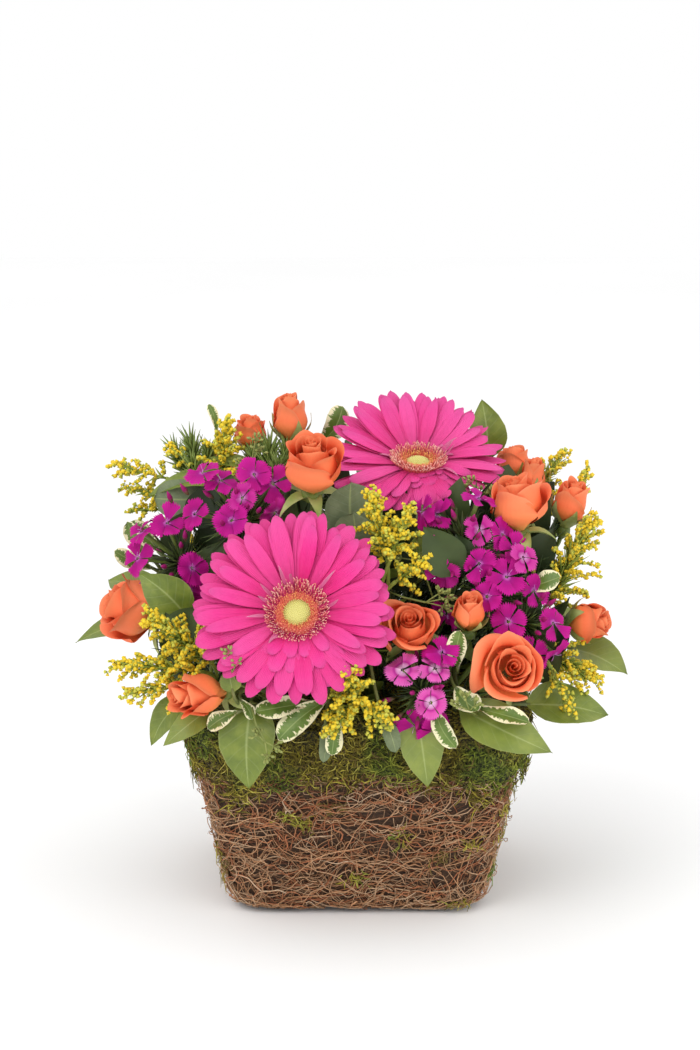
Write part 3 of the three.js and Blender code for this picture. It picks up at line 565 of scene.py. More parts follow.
def rosePetals(bag, at, facing, width, height, openness, seed):
    # Petal k stands at bearing k*golden round the core: its radius swells to a belly and runs to a rolled rim, one
    # edge lies inside the next petal and the other outside it; in an open bloom it also leans off the middle
    # and its rim runs to a point
    draw, free = np.random.default_rng(seed), np.random.default_rng(seed + 500)
    w, h, turns = width / 2, height, turnTo(facing)
    loose = float(ease(openness, 0.5, 0.85))
    roseCore(bag, turns, at, w, h, loose, draw)
    count = 7 + int(round(6 * openness - 2 * loose))
    s = ((np.arange(count) + 1) / count)[:, None, None]
    v = np.linspace(0, 1, 12)[None, :, None]
    u = np.linspace(-1, 1, 15)[None, None, :]
    each = lambda low, high: draw.uniform(low, high, (count, 1, 1))
    vary = lambda low, high: free.uniform(low, high, (count, 1, 1))
    belly = w * (0.34 + 0.55 * s ** 0.85 + each(-0.08, 0.06) * s)
    rim = belly * (0.62 + (0.14 + 0.26 * openness) * s ** 1.2 + each(-0.1, 0.12))
    tall = h * (1.0 - (0.14 + 0.2 * openness) * s ** 1.4 + each(-0.07, 0.05))
    foot = 0.16 * w
    swell = np.sin(np.clip(v / 0.5, 0, 1) * np.pi / 2)
    r = foot + (belly - foot) * swell + (rim - belly) * ease(v, 0.42, 1)
    roll = s * (0.35 + 0.7 * openness) * each(0.4, 1.25)
    edge = ease(v, 0.74, 1) ** 1.3
    wide = (1.5 - 0.36 * s) * each(0.92, 1.12) * (0.55 + 0.45 * ease(v, 0, 0.45))
    lopsided = u * each(-0.3, 0.3) * s
    r = r + roll * 0.1 * width * edge * (1.25 - 0.7 * np.abs(u) + lopsided) + u * w * (0.04 + 0.03 * s)
    r = r + 0.08 * w * ease(v, 0.75, 1) ** 1.5 * (1 - 0.5 * s)
    wave = 0.034 * width * np.sin(3.4 * u + fullTurn * each(0, 1)) * ease(v, 0.55, 1) * s
    z = tall * v ** 0.94 - (0.1 + 0.2 * s) * h * np.abs(u) ** 2.2 * ease(v, 0.25, 1)
    z = z + (0.03 + 0.03 * openness) * h * s * each(0.1, 1.1) * (1 - np.abs(u)) ** 2 * ease(v, 0.8, 1)
    z = z + 0.02 * h * np.sin(7 * u + fullTurn * each(0, 1)) * ease(v, 0.7, 1) * s
    z = z - roll * 0.085 * width * ease(v, 0.84, 1) ** 2 * (0.6 + 0.8 * np.abs(u))
    bearing = golden * np.arange(count)[:, None, None] + u * wide
    r = r * (1 + 0.07 * openness * s * np.sin(3 * bearing + fullTurn * each(0, 1)) * ease(v, 0.3, 0.9))
    point = loose * vary(0.1, 1) * np.maximum(1 - np.abs(u - vary(-0.45, 0.45)) / 0.55, 0) * ease(v, 0.72, 1)
    r = r + w * (0.2 * point + loose * s * ease(v, 0.3, 1) * vary(0.02, 0.13) * np.cos(bearing - vary(0, fullTurn)))
    z = z + h * (0.1 * point + loose * ease(v, 0.4, 1) * vary(-0.1, 0.08) * s)
    r = np.maximum(r + wave, 0.02 * width)
    addGrid(bag, carry(polar(r, bearing, z), turns, at), tone=draw.uniform(0, 1, count), kind=s.ravel())


def rosePaint():
    # Yellow at the foot, orange above, with a painted highlight towards the rim, and painted light that pales the
    # core and the inner petals, where kind is low
    paint = Paint("rosePetal", roughness=0.55, Specular_IOR_Level=0.25)
    along, across, tone, kind = (paint.attribute(key) for key in ("along", "across", "tone", "kind"))
    body = paint.ramp(along, (0.0, (244, 196, 96)), (0.22, (246, 146, 74)), (0.6, (243, 110, 64)),
                      (1.0, (244, 122, 80)))
    # painted light: the core and the inner petals, where kind is low, are paled towards light orange against the
    # shade they sit in
    paintedCoreLight = paint.math("MULTIPLY", paint.math("SUBTRACT", 1.0, kind), 0.7)
    body = paint.mix(paintedCoreLight, body, (255, 142, 92))
    body = paint.tint(body, tone, 0.35, (248, 146, 100))
    # painted highlight: the rim of each petal is paled by along^7
    edge = paint.math("POWER", along, 7.0)
    body = paint.tint(body, edge, 0.45, (254, 176, 130))
    veins = paint.math("SINE", paint.math("MULTIPLY", across, 40.0))
    grain = paint.noise(420, 3)
    body = paint.tint(body, grain, 0.16, (240, 100, 50))
    return paint.finish(body, paint.math("ADD", paint.math("MULTIPLY", veins, 0.25), grain), 0.00015, 0.35)


def stemPath(fork, at, facing):
    # A Bezier curve that leaves the fork in line with the main stem and meets the flower from behind
    fork, at = np.asarray(fork, float), np.asarray(at, float)
    way = unit(fork - heart)
    reach = np.linalg.norm(at - fork)
    a, b = fork - 2 * way, fork + 0.25 * reach * way
    c = at - 0.35 * reach * unit(np.asarray(facing, float))
    t = np.linspace(0, 1, 16)[:, None]
    return (1 - t) ** 3 * a + 3 * (1 - t) ** 2 * t * b + 3 * (1 - t) * t ** 2 * c + t ** 3 * at


def addMain(bag, fork, radius, tone=0.5, kind=0.0):
    # The main stem, straight from inside the foam to its fork
    fork = np.asarray(fork, float)
    way = unit(fork - heart)
    start = heart + 30 * way
    t = np.linspace(0, 1, 6)[:, None]
    addTube(bag, start + (fork - start) * t, radius, 8, tone, kind)


def inFlower(point, at, facing):
    # A point of a flower's own frame, in the basket's frame
    return place(np.reshape(np.asarray(point, float), (1, 1, 3)), turnTo(facing), at)[0, 0]


def addCalyx(bag, at, facing, width, height, openness, reach, seed):
    # A small hip and five tapering sepals: they turn down under a bloom and lie on a bud up to a share of its height
    draw = np.random.default_rng(seed + 300)
    turns = turnTo(facing)
    r = 0.15 * width
    addTurned(bag, [(1.2, -7), (r * 0.8, -5.4), (r + 0.9, -3.6), (r + 0.5, -1.6), (r, -0.2)], 12, turns, at, tone=0.5)
    count = 5
    bearing = fullTurn * (np.arange(count) + draw.uniform(-0.15, 0.15, count)) / count
    if reach:
        v = np.linspace(0, 1, 9)[None, :, None]
        u = np.linspace(-1, 1, 7)[None, None, :]
        up = reach * v * draw.uniform(0.85, 1.15, (count, 1, 1))
        belly, foot = 0.445 * width, 0.08 * width
        rim = belly * (0.78 + 0.26 * openness)
        swell = np.sin(np.clip(up / 0.5, 0, 1) * np.pi / 2)
        out = foot + (belly - foot) * swell + (rim - belly) * ease(up, 0.42, 1)
        out = out + 0.5 + 0.03 * width + 0.25 * np.abs(u) + draw.uniform(0, 2.2, (count, 1, 1)) * v ** 4
        half = 0.23 * width * ((0.75 + 0.25 * np.sin(np.pi * np.clip(v * 1.3, 0, 1))) * (1 - v) ** 0.75 + 0.03)
        angle = bearing[:, None, None] + u * half / np.maximum(out, half)
        lift = height * (0.86 - 0.2 * openness) * up ** 0.94 - 0.6 * (1 - v)
        addGrid(bag, carry(polar(out, angle, lift), turns, at), tone=1.0, kind=1.0)
        return
    first, bend = draw.uniform(4, 22, count), draw.uniform(-80, -40, count)
    slope = lambda v: np.radians(first[:, None, None] + bend[:, None, None] * v)
    shape = lambda v: (0.7 + 0.3 * np.sin(np.pi * np.clip(v * 1.3, 0, 1))) * (1 - v) ** 0.7 + 0.03
    long = (0.25 * width + 8) * draw.uniform(0.85, 1.12, count)
    sepals = blade(9, 5, long, 0.09 * width + 1.2, shape, slope, 0.55)
    sepals = place(sepals, spin(bearing), polar(0.8 * r, bearing, -2.4))
    addGrid(bag, carry(sepals, turns, at), tone=1.0, kind=1.0)


def stemPaint():
    # Patchy green, paler where kind is 1, on the sepals
    paint = Paint("greenStem", roughness=0.5)
    kind = paint.attribute("kind")
    patches = paint.noise(90, 3)
    body = paint.ramp(patches, (0.3, (84, 106, 42)), (0.7, (126, 142, 62)))
    pale = paint.ramp(patches, (0.3, (138, 156, 70)), (0.75, (204, 204, 140)))
    body = paint.mix(paint.math("MULTIPLY", kind, 0.75), body, pale)
    return paint.finish(body, paint.noise(700, 2), 0.0002, 0.3)


def makeRoses():
    # The blooms, their branching stems with calyxes, and the stems of the gerberas
    petal = rosePaint()
    for number, (name, bloom) in enumerate(rose["blooms"].items()):
        bag = newBag()
        rosePetals(bag, *bloom, seed=20 + number)
        makePiece(pieceName(name, "Bloom"), bag, petal, [name])
    green = stemPaint()
    for name, (fork, own) in rose["sprays"].items():
        bag = newBag()
        addMain(bag, fork, 2.0)
        for key in own:
            at, facing, width, height, openness = rose["blooms"][key]
            addTube(bag, stemPath(fork, inFlower((0, 0, -5.5), at, facing), facing), 1.15, 8)
            reach = rose["clasped"].get(key)
            addCalyx(bag, at, facing, width, height, openness, reach, list(rose["blooms"]).index(key))
        makePiece(pieceName(name, "Stem"), bag, green, [name])
    for name, flower in gerbera["flowers"].items():
        bag = newBag()
        neck = inFlower((0, 0, -13), flower["at"], flower["facing"])
        fork = heart + (neck - heart) * 0.62
        addMain(bag, fork, 3.0)
        addTube(bag, stemPath(fork, neck, flower["facing"]), 2.6, 10)
        gerberaUnder(bag, flower)
        makePiece(pieceName(name, "Stem"), bag, green, [name + "_stem"])
    print("roses made")


# The basket and its moss follow a square with round corners

basket = {
    # base and top: half the width at the floor and at the rim, corner: radius as a share of that, and girth: the way
    # round in half widths
    "base": 61.5, "top": 82, "height": 97, "wall": 6, "floor": 4, "corner": 0.3, "girth": 7.4,
    # how far the lowest edge is rounded in, and up to what height
    "tuck": 5.5, "tuckHeight": 6,
    # strands of the wall, then the loops and the loose ends that stand off it, and the heights that they keep to
    "strands": 3760, "shortest": 10, "longest": 62, "thin": 0.16, "thick": 0.31,
    "rise": (0.5, 76), "loops": 120, "loose": 130, "looseLongest": 60, "looseRise": (2, 72), "seed": 71,
}
moss = {
    "strands": 6800, "bedStrands": 500, "patches": 44, "patchStrands": 26, "seed": 81,
    # where the lower edge hangs down: share of the way round, width as a share, depth
    "dips": [(0.108, 0.017, 12), (0.9, 0.012, 12), (0.3, 0.02, 6), (0.42, 0.014, 8), (0.61, 0.02, 8),
             (0.77, 0.014, 6)],
    # sections of the collar inside the rim and of the bed over the foam: half width, height
    "rim": [(78, 103.5), (73.5, 102), (73.2, 97.6), (84.5, 97.6)],
    "bed": [(72.8, 100.5), (66, 103), (58, 107), (50, 112), (42, 117.8), (32, 119.4), (18, 119.8)],
}


def roundSquare(t):
    # Place and outward bearing at share t of the way round: half a side, a quarter turn, half a side, four times
    c = basket["corner"]
    turn = np.linspace(-np.pi / 2, 0, 17)
    side = np.stack([np.append(0, 1 - c + c * np.cos(turn)), np.append(-1, c - 1 + c * np.sin(turn))], -1)
    quarter = np.arange(4) * np.pi / 2
    spun = np.array([[np.cos(quarter), -np.sin(quarter)], [np.sin(quarter), np.cos(quarter)]])
    line = np.einsum("ijk,nj->kni", spun, side).reshape(-1, 2)
    line = np.vstack([line, line[:1]])
    bearing = np.append((np.append(-np.pi / 2, turn)[None] + quarter[:, None]).ravel(), 1.5 * np.pi)
    share = np.append(0, np.cumsum(np.linalg.norm(np.diff(line, axis=0), axis=1)))
    share /= share[-1]
    t = np.asarray(t, float) % 1
    return np.interp(t, share, line[:, 0]), np.interp(t, share, line[:, 1]), np.interp(t, share, bearing)


def wallHalf(z):
    # Half the basket's width at a height; the bottom edge is rounded in
    straight = basket["base"] + (basket["top"] - basket["base"]) * z / basket["height"]
    return straight - basket["tuck"] * np.clip(1 - z / basket["tuckHeight"], 0, 1) ** 2


def onWall(t, half, z, out=0.0):
    # The place at share t round a square of that half width, moved out square to the wall
    x, y, bearing = roundSquare(t)
    return np.stack(np.broadcast_arrays(x * half + out * np.cos(bearing), y * half + out * np.sin(bearing), z), -1)


def strandPaths(draw, count, steps, low, high, longest):
    # A strand drifts round the wall at a slowly turning angle a: t' = cos(a)/girth, z' = sin(a)
    s = np.linspace(0, 1, steps)[None]
    long = perStrand(basket["shortest"] + (longest - basket["shortest"]) * draw.uniform(0, 1, count) ** 2)
    t = draw.uniform(0, 1, count)
    z = draw.uniform(low, high, count)
    lie = draw.normal(0, 0.38, count)
    steep = draw.uniform(0, 1, count) < np.where(np.abs((4 * t) % 1 - 0.5) < 0.17, 0.55, 0.22)
    lie = np.where(steep, draw.uniform(-1.5, 1.5, count), lie)
    lie = lie + np.pi * (draw.uniform(0, 1, count) < 0.5)
    curly = 1 + 1.6 * (draw.uniform(0, 1, count) < 0.4)
    a = perStrand(lie) + perStrand(curly * draw.normal(0, 1.25, count)) * (s - 0.5)
    swing = perStrand(curly * draw.uniform(0.1, 0.8, count))
    a = a + swing * np.sin(fullTurn * (s * perStrand(draw.uniform(0.5, 2, count)) + perStrand(z)))
    z = perStrand(z) + np.cumsum(np.sin(a), axis=1) * long / steps
    z = low + np.abs(z - low)
    z = high - np.abs(high - z)
    z = np.maximum(z, low)
    t = perStrand(t) + np.cumsum(np.cos(a), axis=1) * long / steps / (basket["girth"] * wallHalf(z))
    return s, t, z


def vineStrands(half):
    # One half of the strands: those of the wall sway in and out of it, and loops and loose ends stand off it by
    # sin(pi*s) and s^2.5
    draw = np.random.default_rng(basket["seed"] + half)
    bag = newBag()
    count = basket["strands"] // 2
    s, t, z = strandPaths(draw, count, 8, *basket["rise"], basket["longest"])
    depth = draw.uniform(-1.7, 1.3, count)
    weave = perStrand(draw.uniform(0.2, 0.9, count))
    weave = weave * np.sin(fullTurn * (s * perStrand(draw.uniform(1, 3, count)) + perStrand(depth)))
    radius = draw.uniform(basket["thin"], basket["thick"], count) + 0.25 * (draw.uniform(0, 1, count) > 0.95)
    radius = perStrand(radius)
    path = onWall(t, wallHalf(z), z, perStrand(depth) + weave)
    path[..., 2] = np.maximum(path[..., 2], radius + 0.1)
    # painted shade: strands deeper in the wall get a lower tone, so they are darker; the rest of the tone is random
    tone = np.clip(0.08 + 0.25 * (depth + 1.7) + draw.normal(0, 0.16, count), 0, 1)
    addTube(bag, path, radius * (1 - 0.5 * s ** 4), 3, tone, draw.uniform(0, 1, count))
    for many, pull in ((basket["loops"], np.sin(np.pi * s)), (basket["loose"], s ** 2.5)):
        count = many // 2
        s, t, z = strandPaths(draw, count, 8, *basket["looseRise"], basket["looseLongest"])
        out = 0.8 + perStrand(draw.uniform(1.2, 4.6, count)) * pull
        addTube(bag, onWall(t, wallHalf(z), z, out), 0.24 * (1 - 0.5 * s ** 3), 3,
                draw.uniform(0.35, 1, count), draw.uniform(0, 1, count))
    return bag


def vineWall():
    # The heart of the wall, one closed skin painted dark as the shade deep in the weave: up the outside, over the rim
    # and down the inside
    bag = newBag()
    outside = np.array([0.3, 1, 2.5, 5, 8, 16, 26, 36, 46, 56, 66, 76, 86, 94, 96.2])
    inside = np.array([96.2, 80, 60, 40, 20, 4])
    heights = np.concatenate([outside, inside])[:, None]
    half = np.concatenate([wallHalf(outside) - 2.1, wallHalf(inside) - basket["wall"] + 0.3])[:, None]
    t = (np.arange(160) / 160)[None]
    lump = 0.5 * np.sin(fullTurn * (23 * t + heights / 17)) * np.sin(fullTurn * (31 * t - heights / 13)) * (half > 60)
    addGrid(bag, onWall(t, half, heights, lump), tone=0.0, ring=True, tips=([(0, 0, 0.3)], [(0, 0, basket["floor"])]))
    return bag


def vinePaint(name, dark):
    # Bark in grey, warm or red brown by the strand's kind and pale by its tone, which holds painted shade for the
    # deeper strands; the dark one, for the wall behind, is painted shade of the deep weave
    paint = Paint(name, roughness=0.75)
    if dark:
        # painted shade: the wall behind the strands is near-black brown, as the deep weave lies in shadow
        fibre = paint.noise(330, 3, (1, 1, 3), 0.7)
        body = paint.ramp(fibre, (0.35, (36, 24, 15)), (0.62, (88, 61, 40)), (0.8, (126, 92, 64)))
        return paint.finish(body, fibre, 0.0008, 0.9)
    tone, kind = paint.attribute("tone"), paint.attribute("kind")
    bark = paint.noise(240, 4, rough=0.6)
    warm = paint.ramp(tone, (0.0, (100, 66, 42)), (0.35, (170, 119, 78)), (0.7, (208, 154, 110)),
                      (1.0, (226, 182, 140)))
    grey = paint.ramp(tone, (0.0, (92, 68, 50)), (0.35, (166, 128, 94)), (0.7, (208, 168, 130)),
                      (1.0, (224, 196, 164)))
    red = paint.ramp(tone, (0.0, (104, 58, 36)), (0.5, (184, 110, 70)), (1.0, (218, 148, 102)))
    body = paint.mix(paint.math("GREATER_THAN", kind, 0.42), grey, warm)
    body = paint.mix(paint.math("GREATER_THAN", kind, 0.76), body, red)
    body = paint.tint(body, bark, 0.35, (96, 66, 48))
    return paint.finish(body, bark, 0.0002, 0.6)


def mossSkin(t, z):
    # How far the lumpy moss stands off the wall at a place
    lumps = 1.5 * np.sin(fullTurn * (9 * t + 0.013 * z)) + 1.1 * np.sin(fullTurn * (17 * t - 0.021 * z) + 1)
    fine = 0.7 * np.sin(fullTurn * (41 * t + z / 19)) * np.sin(fullTurn * (z / 11 - 5 * t))
    fine = fine + 0.5 * np.sin(fullTurn * (83 * t - z / 9)) * np.sin(fullTurn * (z / 6.1 + 29 * t))
    swell = np.interp(z, [61, 66, 76, 90, 97, 103], [1.4, 2.8, 3.6, 2.6, 1.4, -0.6])
    return swell + 0.75 * lumps * ease(z, 61, 68) + fine


def mossEdge(t):
    # The height of the moss's ragged lower edge: waves, and dips of depth*exp(-((t - centre)/width)^2)
    edge = 69 + 1.6 * np.sin(fullTurn * 5 * t + 1) + 1.4 * np.sin(fullTurn * 13 * t) + 1.1 * np.sin(fullTurn * 29 * t)
    for centre, width, depth in moss["dips"]:
        edge = edge - depth * np.exp(-(((t - centre + 0.5) % 1 - 0.5) / width) ** 2)
    return edge


def mossBody():
    # A closed ring round the rim, and a bed of moss from the rim over the foam
    bag = newBag()
    t = (np.arange(300) / 300)[None]
    share = np.linspace(0, 1, 20)[:, None]
    outside = mossEdge(t) + 1.5 + (100.5 - mossEdge(t)) * share
    skin = (mossSkin(t, outside) - 0.8) * ease(share, -0.02, 0.2) - 0.4
    outer = onWall(t, wallHalf(outside), outside, skin)
    inner = [onWall(t, half, z) for half, z in moss["rim"]]
    low = onWall(t, wallHalf(mossEdge(t)) - 1.8, mossEdge(t) + 2)
    ring = np.concatenate([outer, *inner, low])
    ring[20:22, :, 2] += 0.8 * np.sin(fullTurn * 13 * t)
    addGrid(bag, ring, tone=0.2, ring=True, loop=True)
    half, height = np.array(moss["bed"]).T[:, :, None]
    lump = 0.8 * np.sin(fullTurn * (11 * t + half / 23)) * np.sin(fullTurn * (7 * t - half / 17))
    bed = onWall(t, half, height + lump)
    addGrid(bag, bed, tone=0.1, ring=True, tips=([(0, 0, 108)], [(0, 0, 119.8)]), ends=(False, True))
    return bag


def curls(draw, bag, foot, normal, count, longest, tone, kind):
    # Short strands that leave the skin, bend, and lie back along it
    side = unit(np.cross(normal, draw.normal(0, 1, (count, 3))))
    other = np.cross(normal, side)
    long = draw.uniform(0.5, 1, count)[:, None, None] * longest
    t = np.array([0, 0.5, 1])[None, :, None]
    rise = draw.uniform(0.1, 0.75, count)[:, None, None]
    bend = draw.normal(0, 0.8, count)[:, None, None]
    path = (side[:, None] * t * (1.2 - 0.4 * t) + other[:, None] * bend * t ** 2
            + normal[:, None] * rise * t * (1.25 - 0.7 * t)) * long
    radius = draw.uniform(0.22, 0.38, count)[:, None] * (1, 0.9, 0.35)
    path = foot[:, None] + path
    path[..., 2] = np.maximum(path[..., 2], 0.6)
    addTube(bag, path, radius, 3, tone, kind)


def mossStrands():
    # Strands over the whole collar, thicker towards its lower edge, and over the bed inside the rim, these with tones
    # kept darker as painted shade under the flowers
    draw = np.random.default_rng(moss["seed"])
    bag = newBag()
    count = moss["strands"]
    t = draw.uniform(0, 1, count)
    z = mossEdge(t) - 0.5 + draw.normal(0, 1.3, count)
    z = z + (103 - z) * draw.uniform(0, 1, count) ** 1.1
    top = ease(z, 94, 103)
    normal = unit(polar(1, roundSquare(t)[2], -0.2 + 1.6 * top))
    foot = onWall(t, wallHalf(z), z, mossSkin(t, z) - 0.7 - draw.uniform(0, 9, count) * top)
    foot[:, 2] += 1.6 * top
    curls(draw, bag, foot, normal, count, 6.5, draw.uniform(0, 1, count), draw.uniform(0, 1, count))
    count = moss["bedStrands"]
    half = draw.uniform(20, 76, count)
    height = np.interp(half, [20, 42, 50, 58, 66, 76], [119.6, 117.8, 112, 107, 103, 102.5])
    up = np.broadcast_to([0.0, 0.0, 1.0], (count, 3))
    # painted shade: the bed strands take tones only up to 0.7, darker than those of the collar, as they lie under the
    # flowers
    curls(draw, bag, onWall(draw.uniform(0, 1, count), half, height), up, count, 9, draw.uniform(0, 0.7, count), 0.4)
    return bag


def mossPatches():
    # Scraps of moss caught in the vines, each a tuft of strands round one place on the wall
    draw = np.random.default_rng(moss["seed"] + 1)
    bag = newBag()
    many, each = moss["patches"], moss["patchStrands"]
    count = many * each
    spot = lambda values: np.repeat(values, each)
    t = spot(draw.uniform(0, 1, many)) + draw.normal(0, 0.006, count)
    z = np.clip(spot(draw.uniform(2, 58, many)) + draw.normal(0, 1.8, count), 1.2, 62)
    foot = onWall(t, wallHalf(z), z, draw.uniform(0.2, 1.2, count))
    normal = polar(1, roundSquare(t)[2], 0)
    curls(draw, bag, foot, normal, count, 5, draw.uniform(0.3, 1, count), spot(draw.uniform(0.3, 1, many)))
    return bag


def mossPaint(name, dark):
    # Olive moss with green and bright green patches and brown strands; the dark one is for the body under them, with
    # painted shade near black in the gaps of its fibre
    paint = Paint(name, roughness=0.9)
    tone, kind = paint.attribute("tone"), paint.attribute("kind")
    patches = paint.noise(34, 3)
    if dark:
        fibre = paint.noise(620, 5, rough=0.8)
        tone = paint.ramp(fibre, (0.4, black), (0.66, white))
    olive = paint.ramp(tone, (0.0, (66, 58, 14)), (0.45, (128, 114, 34)), (0.8, (176, 162, 56)),
                       (1.0, (208, 196, 96)))
    green = paint.ramp(tone, (0.0, (60, 72, 18)), (0.5, (110, 126, 36)), (1.0, (168, 180, 66)))
    bright = paint.ramp(tone, (0.0, (54, 92, 36)), (0.6, (98, 142, 60)), (1.0, (142, 182, 88)))
    brown = paint.ramp(tone, (0.0, (60, 48, 20)), (1.0, (140, 118, 60)))
    body = paint.mix(paint.ramp(patches, (0.47, black), (0.6, white)), olive, green)
    spots = paint.noise(21, 1, (1, 1, 1.6))
    body = paint.mix(paint.ramp(spots, (0.65, black), (0.72, white)), body, bright)
    if dark:
        # painted shade: near black in the low parts of the fibre noise, as the gaps between strands
        body = paint.mix(paint.ramp(fibre, (0.4, white), (0.56, black)), body, (20, 22, 6))
        return paint.finish(body, fibre, 0.002, 1.0)
    body = paint.mix(paint.math("GREATER_THAN", kind, 0.86), body, brown)
    return paint.finish(body)


def makeBasket():
    # Wall, strands and moss, and the finishes of the liner and the foam
    wallPaint, strandPaint = vinePaint("vineShade", True), vinePaint("vineBark", False)
    makePiece("vineWall", vineWall(), wallPaint, ["vine_basket"])
    for half in (0, 1):
        makePiece("vineStrands%d" % half, vineStrands(half), strandPaint, ["vine_basket"])
    makePiece("mossBody", mossBody(), mossPaint("mossShade", True), ["moss_collar"])
    strand = mossPaint("mossStrand", False)
    makePiece("mossStrands", mossStrands(), strand, ["moss_collar"])
    makePiece("mossPatches", mossPatches(), strand, ["vine_basket"])
    for node, colours, scale in (("plastic_liner", ((34, 34, 32), (46, 46, 43)), 60),
                                 ("floral_foam", ((48, 92, 56), (66, 118, 74)), 700)):
        paint = Paint(pieceName(node, "Paint"), roughness=0.45 if node == "plastic_liner" else 0.95)
        grain = paint.noise(scale, 3)
        finish = paint.finish(paint.ramp(grain, (0.3, colours[0]), (0.7, colours[1])), grain, 0.0003, 0.4)
        bpy.data.objects[node].material_slots[0].material = finish
    print("basket made")


# Sweet williams

sweetWilliam = {
    # place, facing, radius of the head, and its florets: how far each lies right and up of the head's middle and how
    # pale it is, or only their number where the photo doesn't show them
    "heads": {
        "sweet_william_01": ((-54, -44, 190), (-0.2, -0.55, 0.8), 23, [
            (-23, 5, 0), (-11, 21, 0), (-19, 25, 0), (0, 15, 0.15), (-5, 5, 0), (15, 8, 0.1), (14, 20, 0),
            (5, 24, 0)]),
        "sweet_william_02": ((-84, -38, 168), (-0.72, -0.45, 0.53), 19, [
            (-7, 21, 0), (-19, 17, 0), (-21, 4, 0), (5, 2, 0), (4, -9, 0)]),
        "sweet_william_03": ((50, -54, 180), (0.05, -0.8, 0.6), 20, [
            (-12, 16.5, 0), (-19, 18, 0), (7, 24, 0), (7, 11, 0.25), (-9, -9, 0.1), (7, -4, 0), (18, 7, 0),
            (24, 0, 0)]),
        "sweet_william_04": ((63, -60, 157), (0.25, -0.9, 0.35), 18, [
            (7, 12, 0), (15, 20, 0.35), (20, 4, 0), (-2, 4, 0), (-20, -7, 0)]),
        "sweet_william_05": ((78, -62, 144), (0.6, -0.75, 0.3), 18, [
            (-7, 5, 0), (14, 3, 0), (15, -13, 0), (4, -12, 0)]),
        "sweet_william_06": ((30, -86, 117), (0.1, -0.97, 0.2), 16, [
            (-9, 12, 1), (6, 13, 0.9), (9, 20, 0), (4, -1, 0.7), (-3, -15, 0), (6, -17, 0)]),
        "sweet_william_07": ((-22, 66, 178), (-0.1, 0.62, 0.78), 23, 10),
        "sweet_william_08": ((76, 56, 148), (0.66, 0.62, 0.42), 23, 10),
    },
    "stems": {
        "sweet_william_stem_left": ((-52, -30, 134), ["sweet_william_01", "sweet_william_02"]),
        "sweet_william_stem_right": ((40, -40, 138), ["sweet_william_03", "sweet_william_04"]),
        "sweet_william_stem_low": ((40, -52, 104), ["sweet_william_05", "sweet_william_06"]),
        "sweet_william_stem_back": ((16, 38, 118), ["sweet_william_07", "sweet_william_08"]),
    },
    "petal": {"claw": 0.8, "radius": 9.4, "half": 4.4, "teeth": 8, "depth": 1.4},  # depth is that of the teeth
    "bracts": 150, "buds": 8,  # for each head
    # further buds that stand out in the photo: how far each lies right and up of the head's middle
    "budSpots": {"sweet_william_01": [(-27, 15), (7, 9), (-9, 3)],
                 "sweet_william_02": [(2, 15), (-5, 32), (-18, 17), (-7, 3)],
                 "sweet_william_03": [(-4, 16), (6, 8)]},
}


def spiral(count, widest, draw, jitter=0.06):
    # Directions over a cap of +Z on a golden spiral, tilt = widest*sqrt(i/count)
    order = np.arange(count)
    tilt = widest * np.sqrt((order + 0.3) / count) + draw.normal(0, jitter, count)
    turn = golden * order + draw.normal(0, jitter * 2, count)
    return polar(np.sin(tilt), turn, np.cos(tilt))


def floretSeats(at, facing, radius, florets, seed):
    # Each floret's direction, seat and paleness. A seat lies sqrt(radius^2 - right^2 - up^2) in front of the head's
    # middle, and its direction is between outward and forwards
    draw = np.random.default_rng(seed + 500)
    if isinstance(florets, int):
        way = spiral(florets, 1.32, draw) @ turnTo(facing)[0].T
        return way, np.asarray(at) + way * (radius * draw.uniform(0.9, 1.1, florets))[:, None], np.zeros(florets)
    right, high, pale = np.array(florets, float).T
    depth = np.sqrt(np.maximum(radius ** 2 - right ** 2 - high ** 2, (0.3 * radius) ** 2))
    away = np.stack([right, -depth, high], -1)
    return unit(0.6 * unit(away) + (0, -0.5, 0.2)), np.asarray(at) + away, pale


